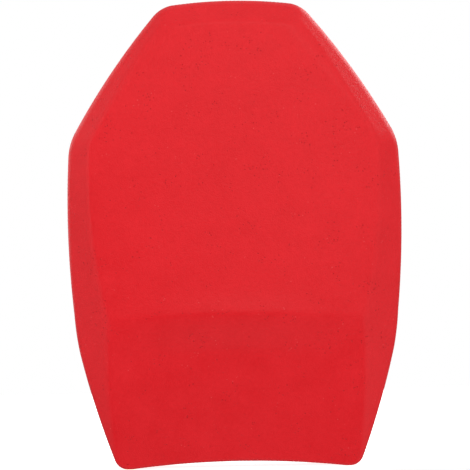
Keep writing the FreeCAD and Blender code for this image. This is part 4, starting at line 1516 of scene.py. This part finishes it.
@dataclass
class Handle:
    """Webbing handle with a vinyl-wrapped foam tube: its feet are riveted, its middle flexes."""

    finishes: Finishes
    kind: HandleKind
    body: str
    suffix: str
    centre: Point
    level: bool = False
    name: str = field(init=False)
    base: float = field(init=False)
    top: float = field(init=False)

    def __post_init__(self) -> None:
        """Find how far off the back its feet and its middle are."""
        self.name = self.kind.name.lower()
        self.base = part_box(f"{self.name}_feet{self.suffix}")[0].y + self.kind.value.web / 2
        self.top = self.base + self.kind.value.standoff

    def place(self, across: Array, out: Array, along: Array) -> Array:
        """Turn places in the handle's own axes into places in the frame.

        Args:
            across: places across the webbing.
            out: distances off the shield.
            along: places along the handle.

        Returns:
            The points, with three numbers on a new last axis.
        """
        if self.level:
            return np.stack([self.centre[0] + along, out, self.centre[1] - across], axis=-1)
        return np.stack([self.centre[0] + across, out, self.centre[1] + along], axis=-1)

    def turn(self, vector: Array) -> Array:
        """A direction from the handle's own axes (across, out, along) to the frame's."""
        across, out, along = vector[..., 0], vector[..., 1], vector[..., 2]
        return np.stack([along, out, -across] if self.level else [across, out, along], axis=-1)

    def webbing(self) -> None:
        """One web from foot to foot; it bends where it leaves the riveted feet."""
        shape = self.kind.value
        base, name = self.base, self.name
        ends = shape.half_span + shape.foot
        corners = [
            (base, -ends), (base, -shape.half_span), (self.top, -shape.half_run),
            (self.top, shape.half_run), (base, shape.half_span), (base, ends),
        ]
        line = filleted(corners, [0.007, shape.bend, shape.bend, 0.007])
        along = tangents(line)
        up = self.turn(np.column_stack([np.zeros(len(line)), along[:, 1], -along[:, 0]]))
        up *= np.sign(up[len(up) // 2, 1])
        points = self.place(np.zeros(len(line)), line[:, 0], line[:, 1])
        across = self.turn(ACROSS)
        mesh = Mesh()
        sweep(points, up, across, tape_section(shape.web_width, shape.web), mesh)
        web = mesh.build(f"{name}_web{self.suffix}", self.finishes.handle_web, "webbing", None)
        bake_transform(web)
        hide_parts(f"{name}_feet{self.suffix}", f"{name}_strap{self.suffix}")
        sewn = Stitching(pitch=0.0034)
        for end in (-1, 1):
            middle = end * (ends - shape.foot / 2)
            spot = self.place(np.array(0.0), np.array(base + shape.web / 2), np.array(middle))
            sewn.boxed(spot, across, self.turn(UPWARD), OUTWARD, (0.0088, 0.0118))
        sewn.mesh.build(f"{name}_stitches{self.suffix}", self.finishes.thread, "webbing", "shield")

    def tube(self, grow: float, half: float, hollow: float, ripple: float) -> Mesh:
        """Oval tube round the web, with rounded ends.

        Args:
            grow: how much it is larger all round than the bare foam.
            half: half of its length.
            hollow: how far its ends are drawn in.
            ripple: height of the wrinkles round it.

        Returns:
            The tube's mesh.
        """
        shape = self.kind.value
        wide, deep = shape.oval[0] / 2 + grow, shape.oval[1] / 2 + grow
        count, ring = 120, 72
        turn = np.linspace(0, 2 * math.pi, ring, endpoint=False)
        share = np.linspace(-1, 1, count)
        run = np.sign(share) * (1 - (1 - np.abs(share)) ** 1.5) * half
        ends = half - np.abs(run)
        lip = 1.0 - np.clip(1 - ends / 0.0022, 0, 1) ** 2 * hollow
        round_it, down_it, ends_in = turn[None], run[:, None], ends[:, None]
        wrinkles = np.sin(down_it * 520 + 1.3 * np.sin(round_it * 2)) * smooth_step(ends_in, 0.002, 0.012)
        folds = 1.6 * np.sin(down_it * 97 + round_it * 3) * smooth_step(ends_in, 0.002, 0.02)
        swell = ripple * (wrinkles + folds) - 0.0006 * (down_it / half) ** 2
        across = np.cos(turn)[None] * (wide * lip[:, None] + swell)
        out = np.sin(turn)[None] * (deep * lip[:, None] + swell) + self.top
        rings = self.place(across, out, np.broadcast_to(run[:, None], across.shape))
        shut = [rings[0] * s + rings[0].mean(0) * (1 - s) for s in (0.42, 0.7, 0.9)]
        back = [rings[-1] * s + rings[-1].mean(0) * (1 - s) for s in (0.9, 0.7, 0.42)]
        mesh = Mesh()
        whole = np.concatenate([np.array(shut), rings, np.array(back)])
        loft(whole[:, ::-1] if self.level else whole, mesh)
        return mesh

    def padding(self) -> None:
        """The foam tube and the vinyl sewn round it, its seam facing the shield."""
        shape = self.kind.value
        name = self.name
        foam = self.tube(0.0, shape.tube / 2, 0.02, 0.0)
        core = foam.build(f"{name}_core{self.suffix}", self.finishes.foam, "soft_foam", self.body)
        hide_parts(f"{name}_foam{self.suffix}")
        skin = self.tube(shape.wrap, shape.tube / 2 - 0.0006, 0.05, 0.00012)
        wrap = skin.build(f"{name}_cover{self.suffix}", self.finishes.grip, "handle_vinyl", self.body)
        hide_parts(f"{name}_wrap{self.suffix}")
        sewn = Stitching(pitch=0.0040, thread=0.0005)
        along = np.linspace(-shape.tube / 2 + 0.004, shape.tube / 2 - 0.004, 60)
        for offset in (-0.0028, 0.0028):
            round_off = np.sqrt(1 - (offset / (shape.oval[0] / 2)) ** 2)
            deep = self.top - (shape.oval[1] / 2 + shape.wrap) * round_off
            line = self.place(np.full(60, offset), np.full(60, deep), along)
            sewn.row(line, -OUTWARD)
        sewn.mesh.build(f"{name}_seam{self.suffix}", self.finishes.thread, "handle_vinyl", self.body)

    def build(self) -> None:
        """Make the whole handle."""
        self.webbing()
        self.padding()


# ------------------------------------------------------------------ studio


@dataclass
class Studio:
    """Pale floor, soft lights, a white tent and the front camera."""

    distance: float = 3.2
    frame_width: float = 0.5637
    aim: Spot = (0.000149, -0.048, 0.27876)
    roll: float = -1.10
    glow: float = 1.115
    hole: Spot = (-0.204, -0.963, -0.174)
    hole_edge: Point = (0.70, 0.95)
    hole_depth: float = 0.97
    rear_depth: float = 0.66
    low_depth: float = 0.08
    top_gain: float = 0.14
    rightward: float = 0.10
    upward: float = -0.25

    def floor(self) -> None:
        """Pale floor under the shield and behind it."""
        rows = np.linspace(-1.6, 1.6, 33)
        columns = np.linspace(-0.10, 1.5, 25)
        x, y = np.meshgrid(rows, columns, indexing="ij")
        points = np.stack([x, y, np.full_like(x, -0.0006)], axis=-1)
        index = np.arange(x.size).reshape(x.shape)
        quads = np.stack([index[:-1, :-1], index[1:, :-1], index[1:, 1:], index[:-1, 1:]], -1).reshape(-1, 4)
        data = bpy.data.meshes.new("pale_floor")
        data.from_pydata(points.reshape(-1, 3).tolist(), [], quads.tolist())
        data.materials.append(StudioPaper().material())
        paper = bpy.data.objects.new("pale_floor", data)
        bpy.context.scene.collection.objects.link(paper)
        paper.visible_diffuse = False
        paper.visible_glossy = False

    def lamp(self, name: str, spot: Spot, size: Point, power: float) -> None:
        """Add a soft rectangular lamp that faces the shield.

        Args:
            name: its name.
            spot: where it is.
            size: its width and height.
            power: its power in watts.
        """
        light = bpy.data.lights.new(name, "AREA")
        light.shape = "RECTANGLE"
        light.size, light.size_y = size
        light.energy = power
        made = bpy.data.objects.new(name, light)
        made.location = spot
        made.rotation_euler = (Vector(self.aim) - Vector(spot)).to_track_quat("-Z", "Y").to_euler()
        bpy.context.scene.collection.objects.link(made)

    def lights(self) -> None:
        """A soft key high in front, a fill at the left and two lamps behind for the back."""
        self.lamp("key_soft", (0.25, -2.1, 1.2), (1.2, 1.2), 13.0)
        self.lamp("fill_left", (-1.8, -1.0, 0.80), (1.2, 1.2), 8.0)
        self.lamp("back_right", (1.4, 1.9, 1.5), (1.4, 1.4), 26.0)
        self.lamp("back_left", (-1.6, 1.6, 0.7), (1.2, 1.6), 12.0)

    def tent(self) -> None:
        """The white tent round the shield, dimmer behind it and dark round the opening in front."""
        world = bpy.data.worlds.new("white_tent")
        room = Graph(world)
        way = room.node("ShaderNodeTexCoord", output="Generated")
        x = room.node("ShaderNodeSeparateXYZ", inputs={0: way}, output=0)
        y, z = (Value(room, x.socket.node.outputs[i]) for i in (1, 2))
        hole = x * self.hole[0] + y * self.hole[1] + z * self.hole[2]
        glow = 1.0 - hole.ramp(*self.hole_edge) * self.hole_depth
        overhead = z.ramp(0.20, 0.80)
        glow = glow * (1.0 - y.ramp(-0.30, 0.10) * (1.0 - overhead * 0.6) * self.rear_depth)
        glow = glow * (1.0 + overhead * self.top_gain)
        glow = glow * (1.0 - z.ramp(-0.05, -0.60) * y.ramp(-0.85, -0.20) * self.low_depth)
        glow = glow * (1.0 + x * self.rightward + z * self.upward) * self.glow
        seen = room.node("ShaderNodeLightPath", output="Is Camera Ray")
        inputs = {"Color": rgb(1.0, 1.0, 1.0), "Strength": seen + (1.0 - seen) * glow}
        light = room.node("ShaderNodeBackground", inputs=inputs)
        room.node("ShaderNodeOutputWorld", inputs={"Surface": light}, output=None)
        bpy.context.scene.world = world

    def camera(self) -> None:
        """Camera square to the face, with the small roll of the view."""
        lens = bpy.data.cameras.new("front_camera")
        lens.sensor_width = 36.0
        lens.lens = 36.0 * self.distance / self.frame_width
        lens.clip_end = 50.0
        made = bpy.data.objects.new("front_camera", lens)
        made.location = Vector(self.aim) - Vector((0.0, self.distance, 0.0))
        upright = Matrix.Rotation(math.pi / 2, 4, "X") @ Matrix.Rotation(math.radians(self.roll), 4, "Z")
        made.rotation_euler = upright.to_euler()
        bpy.context.scene.collection.objects.link(made)
        bpy.context.scene.camera = made

    def build(self) -> None:
        """Make the studio."""
        self.floor()
        self.lights()
        self.tent()
        self.camera()
        bpy.context.scene.view_settings.view_transform = "Standard"


def main() -> None:
    """Build the shield's looks and the studio round it."""
    logging.basicConfig(level=logging.INFO, format="%(name)s %(message)s")
    finishes = Finishes()
    back_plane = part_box("edge_binding")[1].y
    Shell(finishes, Outline(360), back_plane).build()
    Back(finishes, Outline(300)).build()
    for side_name in SIDES:
        ForearmStrap(finishes, side_name).build()
        low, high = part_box(f"grip_feet_{side_name}")
        centre = ((low.x + high.x) / 2, (low.z + high.z) / 2)
        Handle(finishes, HandleKind.GRIP, f"grip_{side_name}", f"_{side_name}", centre).build()
    low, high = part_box("carry_feet")
    Handle(finishes, HandleKind.CARRY, "carry_handle", "", (0.0, (low.z + high.z) / 2), True).build()
    Studio().build()


if __name__ == "__main__":
    main()
